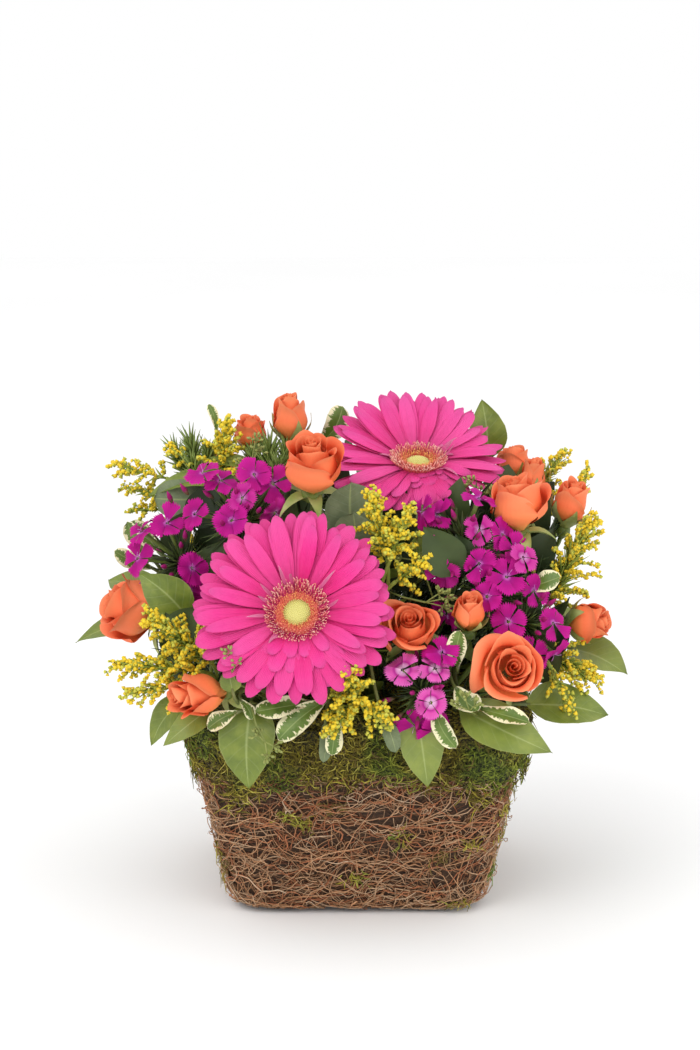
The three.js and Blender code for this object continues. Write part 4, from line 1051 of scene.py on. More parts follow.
def williamHead(at, facing, radius, florets, spots, seed):
    # Five petals a floret: y runs from the claw to a rim that a tooth wave cuts, x = u*half, full from half way out
    draw = np.random.default_rng(seed + 700)
    petal, bag = sweetWilliam["petal"], newBag()
    way, seat, pale = floretSeats(at, facing, radius, florets, seed)
    florets = len(way)
    facings = unit(way + draw.normal(0, 0.26, (florets, 3)))
    size = draw.uniform(0.88, 1.12, florets)
    many = florets * 5
    v = np.linspace(0, 1, 7)[None, :, None]
    u = np.linspace(-1, 1, 17)[None, None, :]
    each = lambda low, high: draw.uniform(low, high, (many, 1, 1))
    tooth = np.abs((u * petal["teeth"] / 2) % 1 - 0.5) * 2 * v ** 4
    long = petal["radius"] * np.repeat(size, 5)[:, None, None] * each(0.88, 1.06)
    y = petal["claw"] + (long * (1 - 0.2 * u ** 2) - petal["claw"]) * v - petal["depth"] * tooth * each(0.5, 1.2)
    x = u * petal["half"] * np.repeat(size, 5)[:, None, None] * (0.13 + 0.87 * v ** 0.9) * each(0.86, 1.08)
    lift = draw.normal(0.14, 0.2, (many, 1, 1))
    z = 0.6 + y * lift - 0.035 * y ** 2 * each(-0.2, 1)
    z = z + 0.7 * np.sin(3.6 * u + fullTurn * each(0, 1)) * v ** 2 - 0.5 * (1 - u ** 2) * v + each(-0.2, 0.7) * u
    bearing = np.tile(fullTurn * np.arange(5) / 5, florets) + np.repeat(draw.uniform(0, fullTurn, florets), 5)
    blades = place(np.stack(np.broadcast_arrays(x, y, z), -1), spin(bearing), (0, 0, 0))
    blades = place(blades, np.repeat(turnTo(facings), 5, axis=0), np.repeat(seat, 5, axis=0))
    tone = 0.5 * np.repeat(draw.uniform(0, 1, florets), 5) + draw.uniform(0, 0.5, many)
    addGrid(bag, blades, tone=tone, kind=np.repeat(pale, 5))
    # the stamens, two pale curls from each throat
    count = florets * 2
    t = np.linspace(0, 1, 5)[None, :, None]
    lean = unit(np.repeat(facings, 2, axis=0) + draw.normal(0, 0.35, (count, 3)))[:, None]
    hook = unit(draw.normal(0, 1, (count, 3)))[:, None]
    stamens = np.repeat(seat, 2, axis=0)[:, None] + lean * 3.4 * t + hook * 1.6 * t ** 3
    addTube(bag, stamens, 0.12, 3, tone=1.0, kind=2.0)
    # pointed buds
    count = sweetWilliam["buds"]
    budWay = spiral(count, 1.5, draw, 0.3) @ turnTo(facing)[0].T
    pointed = [(0.5, -1), (1.15, 0.8), (1.25, 2.4), (0.8, 4.4), (0.12, 6)]
    addTurned(bag, pointed, 6, turnTo(budWay), np.asarray(at) + budWay * radius * 0.92, tone=0.0, kind=3.0)
    if spots:
        right, high = np.array(spots, float).T
        away = np.stack([right, -np.sqrt(np.maximum(radius ** 2 - right ** 2 - high ** 2, 9)) - 2, high], -1)
        leaning = unit(unit(away) + draw.normal(0, 0.3, away.shape) + (0, 0, 0.5))
        addTurned(bag, pointed, 6, turnTo(leaning), np.asarray(at) + away, tone=0.0, kind=3.0)
    return bag


def williamGreen(bag, at, facing, radius, florets, seed):
    # Calyx tubes from the head's heart to the florets, and the knot they leave from
    seat = floretSeats(at, facing, radius, florets, seed)[1]
    at = np.asarray(at, float)
    t = np.linspace(0, 1, 4)[None, :, None]
    tubes = at + (seat - at)[:, None] * (0.3 + 0.7 * t)
    addTube(bag, tubes, (0.6, 0.8, 1.1, 1.2), 6, tone=0.25)
    knot = np.array([(0.1, -0.06), (0.2, 0.02), (0.22, 0.12), (0.1, 0.2)]) * radius
    addTurned(bag, knot, 8, turnTo(facing), at, tone=0.0)


def williamBracts(bag, at, facing, radius, seed):
    # Bracts like needles, from the head's heart to between and just under the florets
    draw = np.random.default_rng(seed + 600)
    count = sweetWilliam["bracts"]
    needle = spiral(count, 1.9, draw, 0.12)
    bend = unit(draw.normal(0, 1, (count, 3)))
    t = np.linspace(0, 1, 4)[None, :, None]
    long = (radius * draw.uniform(0.6, 1.0, count))[:, None, None]
    path = needle[:, None] * (0.12 + 0.9 * t) * long + bend[:, None] * 3 * t ** 2
    addTube(bag, carry(path, turnTo(facing), at), (0.5, 0.65, 0.5, 0.08), 3, tone=draw.uniform(0, 1, count))


def williamPaint():
    # Kind 0 to 1 is magenta to pale pink, 2 the stamens and 3 the buds; fine veins run along each petal
    paint = Paint("sweetWilliamPetal", roughness=0.65, Specular_IOR_Level=0.15)
    along, across, tone, kind = (paint.attribute(key) for key in ("along", "across", "tone", "kind"))
    body = paint.ramp(along, (0.0, (196, 110, 190)), (0.16, (150, 20, 118)), (0.4, (164, 2, 112)),
                      (1.0, (192, 18, 134)))
    pale = paint.ramp(along, (0.0, (252, 226, 244)), (0.2, (240, 176, 224)), (0.36, (186, 40, 146)),
                      (0.52, (232, 96, 184)), (1.0, (238, 120, 200)))
    bud = paint.ramp(along, (0.2, (96, 84, 48)), (0.5, (142, 16, 88)), (1.0, (176, 40, 120)))
    body = paint.mix(paint.math("MINIMUM", kind, 1.0), body, pale)
    body = paint.mix(paint.math("GREATER_THAN", kind, 2.5), body, bud)
    body = paint.tint(body, tone, 0.25, (206, 36, 164))
    veins = paint.math("SINE", paint.math("MULTIPLY", across, 30.0))
    body = paint.tint(body, paint.math("ADD", veins, 1.0), 0.1, (132, 8, 108))
    stamen = paint.math("COMPARE", kind, 2.0, 0.3)
    body = paint.mix(stamen, body, (214, 150, 214))
    return paint.finish(body, veins, 0.00012, 0.3)


def makeSweetWilliams():
    # The heads, and for each stem its branches with their calyxes, and the bracts round its heads
    petal, green = williamPaint(), stemPaint()
    bract = finePaint("bractNeedle", (36, 46, 18), (106, 126, 58))
    heads = sweetWilliam["heads"]
    for number, (name, head) in enumerate(heads.items()):
        bag = williamHead(*head, sweetWilliam["budSpots"].get(name), seed=number)
        makePiece(pieceName(name, "Petals"), bag, petal, [name])
    for name, (fork, own) in sweetWilliam["stems"].items():
        bag = newBag()
        addMain(bag, fork, 1.8)
        for key in own:
            at, facing, radius, florets = heads[key]
            addTube(bag, stemPath(fork, inFlower((0, 0, 0.5), at, facing), facing), 1.3, 8)
            williamGreen(bag, at, facing, radius, florets, list(heads).index(key))
        makePiece(pieceName(name), bag, green, [name])
        bag = newBag()
        for key in own:
            at, facing, radius, _ = heads[key]
            williamBracts(bag, at, facing, radius, list(heads).index(key))
        makePiece(pieceName(name.replace("stem", "bracts")), bag, bract, [name])
    print("sweet williams made")


# Goldenrod

goldenrod = {
    # spray: its fork and its plumes, each from, to, reach of its side twigs, number of twigs
    "sprays": {
        "goldenrod_high_left": ((-62, -2, 160), [
            ((-66, -10, 203), (-64, -12, 231), 17, 27), ((-94, -4, 204), (-119, -4, 211), 12, 13),
            ((-94, -2, 193), (-115, -4, 200), 9, 9), ((-98, -2, 188), (-111, -4, 188), 7, 6),
            ((-78, -6, 210), (-92, -6, 220), 9, 8)]),
        "goldenrod_low_left": ((-66, -56, 112), [
            ((-70, -78, 130), (-96, -86, 153), 18, 28), ((-74, -82, 126), (-112, -86, 131), 16, 22),
            ((-80, -84, 120), (-107, -88, 117), 12, 13), ((-68, -80, 134), (-66, -88, 152), 13, 14)]),
        "goldenrod_middle": ((6, -52, 136), [
            ((14, -72, 176), (7, -76, 208), 17, 27), ((16, -74, 180), (24, -80, 203), 13, 18),
            ((18, -76, 168), (31, -84, 180), 11, 13)]),
        "goldenrod_low_front": ((2, -62, 104), [
            ((-3, -90, 112), (-4, -106, 132), 17, 22), ((0, -92, 114), (14, -106, 110), 12, 14),
            ((-4, -92, 112), (-13, -106, 104), 11, 13)]),
        "goldenrod_right": ((62, -22, 112), [
            ((92, -30, 146), (112, -30, 186), 23, 28), ((88, -46, 128), (112, -62, 118), 18, 20),
            ((92, -68, 124), (101, -80, 107), 9, 9), ((98, -4, 176), (114, 4, 206), 14, 12),
            ((84, 2, 190), (101, 5, 214), 15, 15)]),
        "goldenrod_back": ((-52, 44, 112), [
            ((-74, 64, 140), (-96, 82, 166), 18, 17), ((-60, 72, 128), (-62, 100, 136), 16, 14)]),
    },
    "spacing": 1.15, "head": 1.08, "seed": 91,
    # spray: narrow pale leaves for each twig of its plumes
    "leafy": {"goldenrod_right": 3.2, "goldenrod_low_left": 1.8},
}


def goldenrodPlume(bag, start, end, reach, twigs, draw):
    # Side twigs leave the axis on a golden spiral, arch out and droop; small star heads sit in rows along them
    start, end = np.asarray(start, float), np.asarray(end, float)
    length = np.linalg.norm(end - start)
    way = (end - start) / length
    share = (np.arange(twigs) + 0.5) / twigs
    root = start + way * (length * (0.02 + 0.95 * share))[:, None]
    frame = turnTo(way)[0]
    turn = golden * np.arange(twigs) + draw.uniform(0, fullTurn)
    out = np.cos(turn)[:, None] * frame[:, 0] + np.sin(turn)[:, None] * frame[:, 1]
    long = reach * (1 - 0.55 * share) * draw.uniform(0.8, 1.15, twigs)
    t = np.linspace(0, 1, 14)[None, :, None]
    lead = unit(out * (1.1 - 0.7 * share)[:, None] + way * (0.35 + 0.9 * share)[:, None])
    drop = np.array([0, 0, -1.0]) * draw.uniform(0.05, 0.35, (twigs, 1, 1))
    path = root[:, None] + long[:, None, None] * (lead[:, None] * t + drop * t ** 2)
    addTube(bag, path, 0.3 - 0.15 * t[..., 0], 3, tone=0.0, kind=1.0)
    addTube(bag, start + (end - start) * np.linspace(-0.05, 1, 8)[:, None], 0.65, 5, tone=0.0, kind=1.0)
    rows = np.maximum((long / goldenrod["spacing"]).astype(int), 3)
    twig = np.repeat(np.arange(twigs), rows * 2)
    step = np.concatenate([np.linspace(0.12, 1, n).repeat(2) for n in rows])
    count = len(twig)
    turn = draw.uniform(0, fullTurn, count)
    along = lead[twig] + 2 * drop[twig, 0] * step[:, None]
    side = unit(np.cross(along, [0.13, 0.2, 1.0]))
    over = unit(np.cross(side, along))
    lean = side * np.cos(turn)[:, None] + over * (0.45 + np.sin(turn))[:, None]
    centre = root[twig] + long[twig, None] * (lead[twig] * step[:, None] + drop[twig, 0] * step[:, None] ** 2)
    facing = unit(lean + 0.5 * unit(along) + draw.normal(0, 0.25, (count, 3)))
    size = goldenrod["head"] * draw.uniform(0.65, 1.2, count)
    centre = centre + facing * (0.4 + draw.uniform(0, 1.3, count))[:, None]
    # a head: a small ring, and a wide one with every other point drawn in, between two tips
    turn = fullTurn * np.arange(6) / 6
    notch = np.where(np.arange(6) % 2, 0.62, 1.0)
    head = np.stack([polar(0.35, turn, -1.1), polar(1.15 * notch, turn, 0.4)]) * size[:, None, None, None]
    ends = np.array([(0, 0, -1.1), (0, 0, 0.85)]) * size[:, None, None]
    turns = turnTo(facing)
    ends = place(ends, turns, centre)
    head = place(head, turns, centre)
    addGrid(bag, head, tone=draw.uniform(0, 1, count), ring=True, tips=(ends[:, 0], ends[:, 1]))


def goldenrodPaint():
    # Yellow heads, a third of them younger and greener, and green twigs where kind is 1
    paint = Paint("goldenrodHead", roughness=0.7)
    along, tone, kind = (paint.attribute(key) for key in ("along", "tone", "kind"))
    bright = paint.ramp(along, (0.0, (132, 146, 48)), (0.4, (224, 198, 46)), (1.0, (236, 204, 40)))
    young = paint.ramp(along, (0.0, (116, 136, 48)), (0.5, (172, 174, 56)), (1.0, (204, 200, 74)))
    body = paint.mix(paint.math("GREATER_THAN", tone, 0.66), bright, young)
    body = paint.mix(kind, body, paint.ramp(paint.noise(160, 2), (0.3, (124, 146, 52)), (0.7, (168, 178, 76))))
    return paint.finish(body)


def makeGoldenrod():
    # Each spray: a main stem, and a stem, the plume and its narrow leaves for every plume
    finish = goldenrodPaint()
    draw = np.random.default_rng(goldenrod["seed"])
    for name, (fork, plumes) in goldenrod["sprays"].items():
        bag = newBag()
        addMain(bag, fork, 1.5, 0.0, 1.0)
        for start, end, reach, twigs in plumes:
            way = np.subtract(end, start)
            addTube(bag, stemPath(fork, start, way), 1.0, 6, tone=0.0, kind=1.0)
            goldenrodPlume(bag, start, end, reach, twigs, draw)
            axis = np.linspace(np.subtract(start, 0.35 * way), np.subtract(end, 0.28 * way), 8)
            leaves = int(twigs * goldenrod["leafy"].get(name, 1))
            addNeedles(bag, axis, leaves, 0.62 * reach, draw, 0.0, 0.65, kind=1.0)
        makePiece(pieceName(name), bag, finish, [name])
    print("goldenrod made")


# Leaves

leaf = {
    # width along the leaf, bow and fold as shares of length and width, waves of the edge, roughness
    "kinds": {
        "salal": {
            "outline": [(0, 0.1), (0.07, 0.5), (0.18, 0.86), (0.34, 1), (0.52, 0.93), (0.72, 0.66), (0.88, 0.3),
                        (1, 0)],
            "bow": 0.1, "fold": 0.09, "wave": 0.02, "rough": 0.42},
        "eucalyptus": {
            "outline": [(0, 0.14), (0.1, 0.56), (0.3, 0.95), (0.52, 1), (0.74, 0.92), (0.9, 0.62), (1, 0)],
            "bow": 0.07, "fold": 0.06, "wave": 0.03, "rough": 0.75},
        "pittosporum": {
            "outline": [(0, 0.12), (0.16, 0.4), (0.42, 0.82), (0.66, 1), (0.84, 0.86), (0.95, 0.5), (1, 0)],
            "bow": 0.1, "fold": 0.08, "wave": 0.09, "rough": 0.38},
    },
    "seed": 101,
    # spray: kind, fork and leaves, each from, to, width, the way its upper side looks
    "sprays": {
        "salal_front_left": ("salal", (-44, -60, 104), [
            ((-50, -85, 112), (-51, -94, 72), 27, (0, -0.95, 0.3)),
            ((-80, -74, 112), (-98, -72, 87), 15, (-0.4, -0.8, 0.4)),
            ((-68, -86, 110), (-91, -94, 93), 13, (-0.3, -0.9, 0.3)),
            ((-58, -97, 120), (-60, -97, 133), 10, (0, -0.95, 0.3))]),
        "salal_front_right": ("salal", (46, -62, 98), [
            ((28, -88, 108), (33, -94, 73), 21, (0, -0.95, 0.3)),
            ((48, -88, 110), (91, -99, 91), 25, (0.1, -0.75, 0.65)),
            ((80, -74, 108), (120, -62, 99), 26, (0.1, -0.6, 0.8))]),
        "salal_left": ("salal", (-66, -16, 112), [
            ((-104, -16, 132), (-139, -14, 123), 15, (-0.2, -0.5, 0.85)),
            ((-80, -61, 146), (-104, -58, 168), 22, (-0.35, -0.85, 0.3)),
            ((-104, 10, 140), (-126, 26, 146), 24, (-0.5, 0, 0.85))]),
        "salal_crown": ("salal", (-6, 12, 150), [
            ((-58, -20, 206), (-102, -16, 197), 18, (0, -0.4, 0.9)),
            ((66, 28, 208), (62.5, 31, 238), 20, (0.1, -0.98, 0.1)),
            ((-30, 30, 206), (-40, 46, 226), 22, (-0.2, 0.6, 0.7)),
            ((-47, -10, 209), (-78, -10, 213), 10, (0, -0.5, 0.85)),
            ((26, -48, 174), (46, -48, 186), 17, (-0.3, -0.9, 0.4))]),
        "salal_right": ("salal", (64, 4, 110), [
            ((104, -28, 124), (131, -42, 114), 25, (0.3, -0.6, 0.75)),
            ((100, 24, 122), (126, 40, 120), 24, (0.5, 0, 0.85)),
            ((92, 46, 116), (116, 62, 106), 22, (0.4, 0.4, 0.8))]),
        "salal_back": ("salal", (10, 60, 106), [
            ((14, 88, 118), (10, 116, 96), 25, (0, 0.7, 0.7)),
            ((50, 82, 116), (70, 104, 98), 23, (0.3, 0.7, 0.6)),
            ((-32, 88, 118), (-46, 112, 96), 24, (-0.2, 0.7, 0.6)),
            ((2, 84, 150), (-4, 104, 168), 24, (0, 0.8, 0.6))]),
        "eucalyptus": ("eucalyptus", (2, -20, 150), [
            ((-4, -52, 176), (-2, -60, 198), 20, (0, -0.95, 0.3)),
            ((-6, -42, 188), (-12, -50, 190), 17, (0, -0.9, 0.4)),
            ((0, 20, 200), (-6, 36, 214), 22, (0, 0.7, 0.7)),
            ((-1, -49, 182), (-3, -52, 211), 25, (0.1, -0.95, 0.2)),
            ((12, -96, 107), (18, -98, 91), 8, (0.2, -0.95, 0.3)),
            ((-72, -20, 197), (-99, -20, 197), 20, (0, -0.95, 0.3)),
            ((-15, -92, 104), (-16, -98, 86), 6.5, (0, -0.95, 0.3))]),
        "pittosporum_front": ("pittosporum", (-18, -60, 102), [
            ((-20, -92, 114), (-48, -99, 111), 11, (0.1, -0.75, 0.65)),
            ((-14, -92, 115), (-37, -101, 98), 13, (0, -0.8, 0.6)),
            ((-9, -92, 108), (-12, -99, 90), 9, (0.3, -0.9, 0.3)),
            ((-56, -92, 109), (-70, -96, 102), 9, (-0.2, -0.9, 0.4)),
            ((-55, -92, 115), (-49, -97, 107), 6, (0.2, -0.8, 0.6))]),
        "pittosporum_right": ("pittosporum", (44, -48, 124), [
            ((47, -84, 128), (48, -90, 148), 10, (-0.3, -0.9, 0.2)),
            ((46, -90, 120), (56, -101, 112), 12, (0, -0.8, 0.6)),
            ((36, -92, 113), (46, -101, 94), 10, (-0.5, -0.8, 0.3)),
            ((54, -94, 112), (80, -103, 107), 10, (0, -0.6, 0.8)),
            ((80, -56, 160), (96, -66, 168), 11, (0, -0.8, 0.6))]),
        "pittosporum_left": ("pittosporum", (-70, -6, 128), [
            ((-100, -16, 166), (-112, -22, 186), 9, (-0.4, -0.9, 0)),
            ((-101, -9, 160), (-119, -16, 170), 9, (-0.3, -0.9, 0.2)),
            ((-98, 6, 164), (-114, 14, 178), 11, (-0.6, 0, 0.8)),
            ((-19, 8, 219), (-7, 8, 238), 13, (0.2, -0.95, 0.2)),
            ((-69, 2, 226), (-73, 2, 240), 5, (0.3, -0.9, 0.2))]),
    },
}


def addLeaf(bag, kind, start, end, width, look, draw, rows=18, cols=11):
    # start + along*v + across*u*w(v) + look*(bow*sin(pi*v) + fold*|u| + a wave at the edge)
    style = leaf["kinds"][kind]
    start, end = np.asarray(start, float), np.asarray(end, float)
    v = (1 - (1 - np.linspace(0, 1, rows)) ** 1.4)[:, None, None]
    u = np.linspace(-1, 1, cols)[None, :, None]
    along = end - start
    long = np.linalg.norm(along)
    across = unit(np.cross(along, look))
    up = unit(np.cross(across, along))
    knots = np.array(style["outline"])
    wide = np.interp(v, knots[:, 0], knots[:, 1]) * width / 2
    wide = wide * np.clip((1.001 - v) * 22, 0, 1) ** 0.5
    bow = style["bow"] * long * draw.uniform(0.7, 1.3) * np.sin(np.pi * v)
    fold = style["fold"] * width * np.abs(u) ** 1.3 * np.sin(np.pi * np.clip(v, 0.02, 0.98)) ** 0.5
    phase = draw.uniform(0, fullTurn, 2)
    wave = style["wave"] * width * u ** 2 * np.sin(9 * v + np.where(u > 0, phase[0], phase[1]))
    sway = 0.05 * long * np.sin(np.pi * v) * draw.normal()
    points = start + along * v + across * (u * wide + sway) + up * (bow + fold + wave)
    addGrid(bag, points, tone=draw.uniform(0, 1))


def leafPaint(kind):
    # Grainy green with a pale rib and slanting veins, and on salal a painted highlight along the margin; pittosporum
    # is cream where |u| and a blotchy noise run high
    paint = Paint(kind + "Leaf", roughness=leaf["kinds"][kind]["rough"])
    along, across, tone, isStem = (paint.attribute(key) for key in ("along", "across", "tone", "kind"))
    off = paint.math("ABSOLUTE", across)
    grain = paint.noise(120, 4, rough=0.6)
    rib = paint.ramp(off, (0.0, white), (0.07, black))
    slant = paint.math("SUBTRACT", paint.math("MULTIPLY", along, 8.0), paint.math("MULTIPLY", off, 1.6))
    vein = paint.ramp(paint.math("PINGPONG", slant, 0.5), (0.0, white), (0.09, black))
    if kind == "salal":
        body = paint.ramp(grain, (0.25, (80, 100, 28)), (0.5, (108, 125, 38)), (0.75, (136, 147, 54)))
        body = paint.tint(body, tone, 0.5, (142, 154, 76))
        body = paint.tint(body, vein, 0.3, (138, 150, 88))
        # painted highlight: a pale rim along the very margin of the salal leaf
        body = paint.mix(paint.ramp(off, (0.95, black), (1.0, (150, 150, 150))), body, (186, 190, 122))
    if kind == "eucalyptus":
        body = paint.ramp(grain, (0.25, (88, 102, 70)), (0.5, (110, 122, 86)), (0.8, (138, 148, 112)))
        body = paint.tint(body, tone, 0.4, (134, 146, 112))
        body = paint.tint(body, vein, 0.2, (150, 160, 134))
    if kind == "pittosporum":
        body = paint.ramp(grain, (0.25, (70, 98, 30)), (0.55, (98, 124, 46)), (0.8, (128, 148, 70)))
        streak = paint.leafNoise(26, 2.2)
        edge = paint.math("ADD", off, paint.math("MULTIPLY", paint.math("SUBTRACT", streak, 0.5), 1.5))
        edge = paint.math("MAXIMUM", edge, paint.math("MULTIPLY", paint.math("POWER", along, 7.0), 0.95))
        body = paint.mix(paint.ramp(edge, (0.62, black), (0.74, white)), body, (236, 230, 188))
    body = paint.tint(body, rib, 0.5, (176, 188, 122))
    body = paint.mix(isStem, body, paint.ramp(paint.noise(90, 2), (0.3, (84, 96, 46)), (0.7, (124, 128, 70))))
    height = paint.math("SUBTRACT", grain, paint.math("MULTIPLY", paint.math("MAXIMUM", rib, vein), 0.5))
    return paint.finish(body, height, 0.0003, 0.4)


def makeLeaves():
    # Each spray: a main stem, a stem to every leaf, and the leaves
    paints = {kind: leafPaint(kind) for kind in leaf["kinds"]}
    draw = np.random.default_rng(leaf["seed"])
    for name, (kind, fork, leaves) in leaf["sprays"].items():
        bag = newBag()
        addMain(bag, fork, 1.5, kind=1.0)
        for start, end, width, look in leaves:
            way = unit(np.subtract(end, start))
            addTube(bag, stemPath(fork, np.asarray(start) + 2 * way, way), 0.9, 6, kind=1.0)
            addLeaf(bag, kind, start, end, width, look, draw)
        makePiece(pieceName(name, "Leaves"), bag, paints[kind], [name])
    print("leaves made")
    return paints


# Fine foliage: the two tufts at the top and the dark greens between the flowers, their dark a painted shade

fine = {
    # the tufts: each sprig's place, facing and reach
    "fork": (-40, -14, 150),
    "sprigs": [
        ((-81, -4, 216), (-0.1, 0, 1), 15), ((-43, -8, 214), (0, -0.1, 1), 16), ((-88, 0, 213), (-0.4, 0, 1), 12),
        ((-35, -6, 214), (0.1, 0, 1), 14), ((-74, -6, 213), (0.25, -0.2, 1), 13), ((-50, -6, 211), (-0.2, 0, 1), 15),
        ((-39, -12, 207), (0.1, -0.4, 1), 14), ((-30, -12, 208), (0.1, -0.2, 1), 12),
        ((-80, -10, 207), (0, -0.4, 1), 14)],
    "needles": 46,
    "seed": 111,
    # sprigs spread over a dome of that reach, and heart: darker leaves deep in it, their dark a painted shade
    # leaves of the skirt: their number, the heights in turn, and how far from the middle they start at a height
    # tips: where further sprigs end, placed: further dark leaves as from, to, width, and dark: where others start
    "filler": {
        "sprigs": 145, "needles": 22, "reach": (100, 78, 132), "heart": 110, "seed": 121,
        "leaves": 90, "heights": [104, 112, 122, 134, 148, 160], "starts": ([100, 130, 165], [58, 60, 50]),
        "tips": [
            (-62, -52, 152), (-70, -48, 142), (-56, -62, 138), (-68, -42, 160), (-46, -52, 172), (-76, -30, 172),
            (70, -46, 172), (84, -32, 166), (92, -24, 176), (66, -20, 194), (80, -38, 152), (58, -32, 200),
            (88, -10, 186), (-90, -20, 180), (-84, -8, 196), (-30, -32, 206), (-60, -12, 206), (-14, -20, 212),
            (88, -50, 140), (40, -44, 188), (12, -52, 192), (6, -64, 168), (16, -80, 140), (44, -74, 136),
            (56, -84, 116), (-90, -50, 128), (-94, -28, 166), (-94, -34, 176), (-88, -34, 156), (98, -18, 184),
            (90, -6, 196), (-66, -32, 190), (-50, -34, 188), (-74, -44, 152), (64, -50, 190), (88, -36, 164)],
        "placed": [
            ((-86, -30, 148), (-68, -36, 172), 20), ((-60, -36, 148), (-58, -40, 172), 20),
            ((-76, -24, 168), (-62, -26, 192), 18), ((-52, -20, 184), (-42, -24, 206), 16),
            ((0, -38, 180), (8, -42, 202), 15), ((18, -40, 170), (10, -46, 192), 16),
            ((47, -71, 170), (31, -69, 193), 21), ((-70, -44, 140), (-80, -48, 158), 18),
            ((84, -30, 160), (96, -28, 184), 18), ((57, -66, 171), (46, -70, 190), 14),
            ((12, -30, 176), (24, -36, 205), 24), ((33, -44, 166), (42, -46, 196), 22),
            ((50, -54, 138), (56, -58, 166), 20), ((86, -20, 176), (92, -20, 204), 16),
            ((-80, -26, 184), (-66, -28, 208), 18), ((-76, -40, 154), (-62, -44, 182), 18),
            ((-38, -36, 174), (-29, -38, 200), 16), ((-84, -66, 134), (-72, -70, 155), 20),
            ((-92, -68, 120), (-76, -72, 138), 18), ((74, -40, 150), (70, -44, 178), 18),
            ((80, -58, 128), (95, -62, 150), 20), ((82, -56, 118), (99, -60, 132), 18),
            ((70, -22, 180), (80, -24, 206), 16), ((38, -38, 182), (43, -46, 202), 15),
            ((-80, -62, 130), (-91, -66, 151), 18), ((4, -52, 168), (12, -56, 188), 16),
            ((86, -36, 122), (103, -36, 142), 18), ((78, -32, 134), (92, -30, 158), 18),
            ((-8, -16, 194), (-5, -18, 216), 16), ((46, -30, 184), (50, -32, 210), 16),
            ((18, -50, 158), (26, -54, 182), 18), ((-92, -30, 172), (-80, -32, 194), 16),
            ((-70, -24, 190), (-60, -24, 210), 14)],
        "dark": [
            (-74, -22, 186), (-60, -24, 180), (-48, -26, 178), (-86, -18, 172), (-78, -26, 160), (-66, -34, 158),
            (-56, -36, 166), (-92, -22, 156), (60, -16, 190), (48, -26, 184), (74, -26, 182), (86, -16, 176),
            (92, -24, 160), (76, -34, 160), (62, -42, 150), (46, -40, 164), (24, -40, 180), (-24, -30, 190),
            (-36, -30, 196), (70, -50, 136), (86, -40, 142), (40, -62, 130), (-72, -50, 138), (-62, -60, 130),
            (-84, -40, 142), (88, -2, 190), (70, 0, 196)],
    },
}


def addNeedles(bag, stem, count, reach, draw, tone, thick, kind=0.0):
    # Needles leave a stem on a golden spiral and lean up along it: root + reach*(out*t + ahead*t^2)
    share = np.linspace(0.35, 1, count)
    root = np.stack([np.interp(share, np.linspace(0, 1, len(stem)), stem[:, k]) for k in range(3)], -1)
    ahead = unit(stem[-1] - stem[-3])
    frame = turnTo(ahead)[0]
    turn = golden * np.arange(count) + draw.uniform(0, fullTurn)
    out = np.cos(turn)[:, None] * frame[:, 0] + np.sin(turn)[:, None] * frame[:, 1]
    opening = (1.15 - 0.95 * share)[:, None]
    way = unit(out * opening + ahead * 0.9)
    t = np.linspace(0, 1, 3)[None, :, None]
    long = (reach * draw.uniform(0.7, 1.1, count) * (0.75 + 0.25 * share))[:, None, None]
    path = root[:, None] + long * (way[:, None] * t + out[:, None] * 0.12 * t ** 2)
    addTube(bag, path, thick * np.array([[1, 0.85, 0.1]]), 3, tone=draw.uniform(0, 1, count) * 0.5 + tone, kind=kind)


def finePaint(name, low, high):
    # From the low colour to the high one by tone, with darker patches
    paint = Paint(name, roughness=0.6)
    tone = paint.attribute("tone")
    body = paint.ramp(tone, (0.0, low), (1.0, high))
    body = paint.tint(body, paint.noise(150, 3), 0.5, tuple(int(0.72 * c) for c in low))
    return paint.finish(body)


def makeFine():
    # A main stem, and a stem with a tuft of needles round its end for every sprig
    draw = np.random.default_rng(fine["seed"])
    bag = newBag()
    addMain(bag, fine["fork"], 1.5)
    for at, facing, reach in fine["sprigs"]:
        stem = stemPath(fine["fork"], at, facing)
        addTube(bag, stem, 1.0, 6)
        tip = np.asarray(at) + unit(np.asarray(facing, float)) * reach * 0.25
        last = np.linspace(stem[-4], tip, 6)
        addTube(bag, last[2:], 0.7, 5)
        addNeedles(bag, last, fine["needles"], reach * 0.88, draw, 0.4, 0.85)
    finish = finePaint("narrowLeaf", (78, 104, 38), (162, 180, 90))
    makePiece("narrowFoliage", bag, finish, ["narrow_foliage"])


def domeSeats(count, widest, low, high, draw):
    # Places from the heart out to shares low to high of the filler's reach, on a golden spiral
    way = spiral(count, widest, draw, 0.05)
    return heart + way * fine["filler"]["reach"] * draw.uniform(low, high, (count, 1))


def addStalk(bag, base, end):
    # A thin stem from the foam, under base in line with the heart, to the end
    addTube(bag, np.linspace(heart + 34 * unit(base - heart), end, 6), 0.8, 5, kind=1.0)


def fillerNeedles(draw):
    # Sprigs from the foam's heart towards a low dome
    filler, bag = fine["filler"], newBag()
    for tip in np.concatenate([domeSeats(filler["sprigs"], 1.28, 0.6, 0.97, draw), filler["tips"]]):
        base = heart + unit(tip - heart) * 36
        stem = np.linspace(base, tip, 10)
        stem[:, 2] += 3 * np.sin(np.linspace(0, np.pi, 10)) * draw.normal()
        addTube(bag, stem, 0.6, 4, tone=0.2)
        # painted shade: tones from 0 to 0.5 keep these needles in the darker half of their green
        addNeedles(bag, stem, filler["needles"], 15, draw, 0.0, 0.62)
    return bag


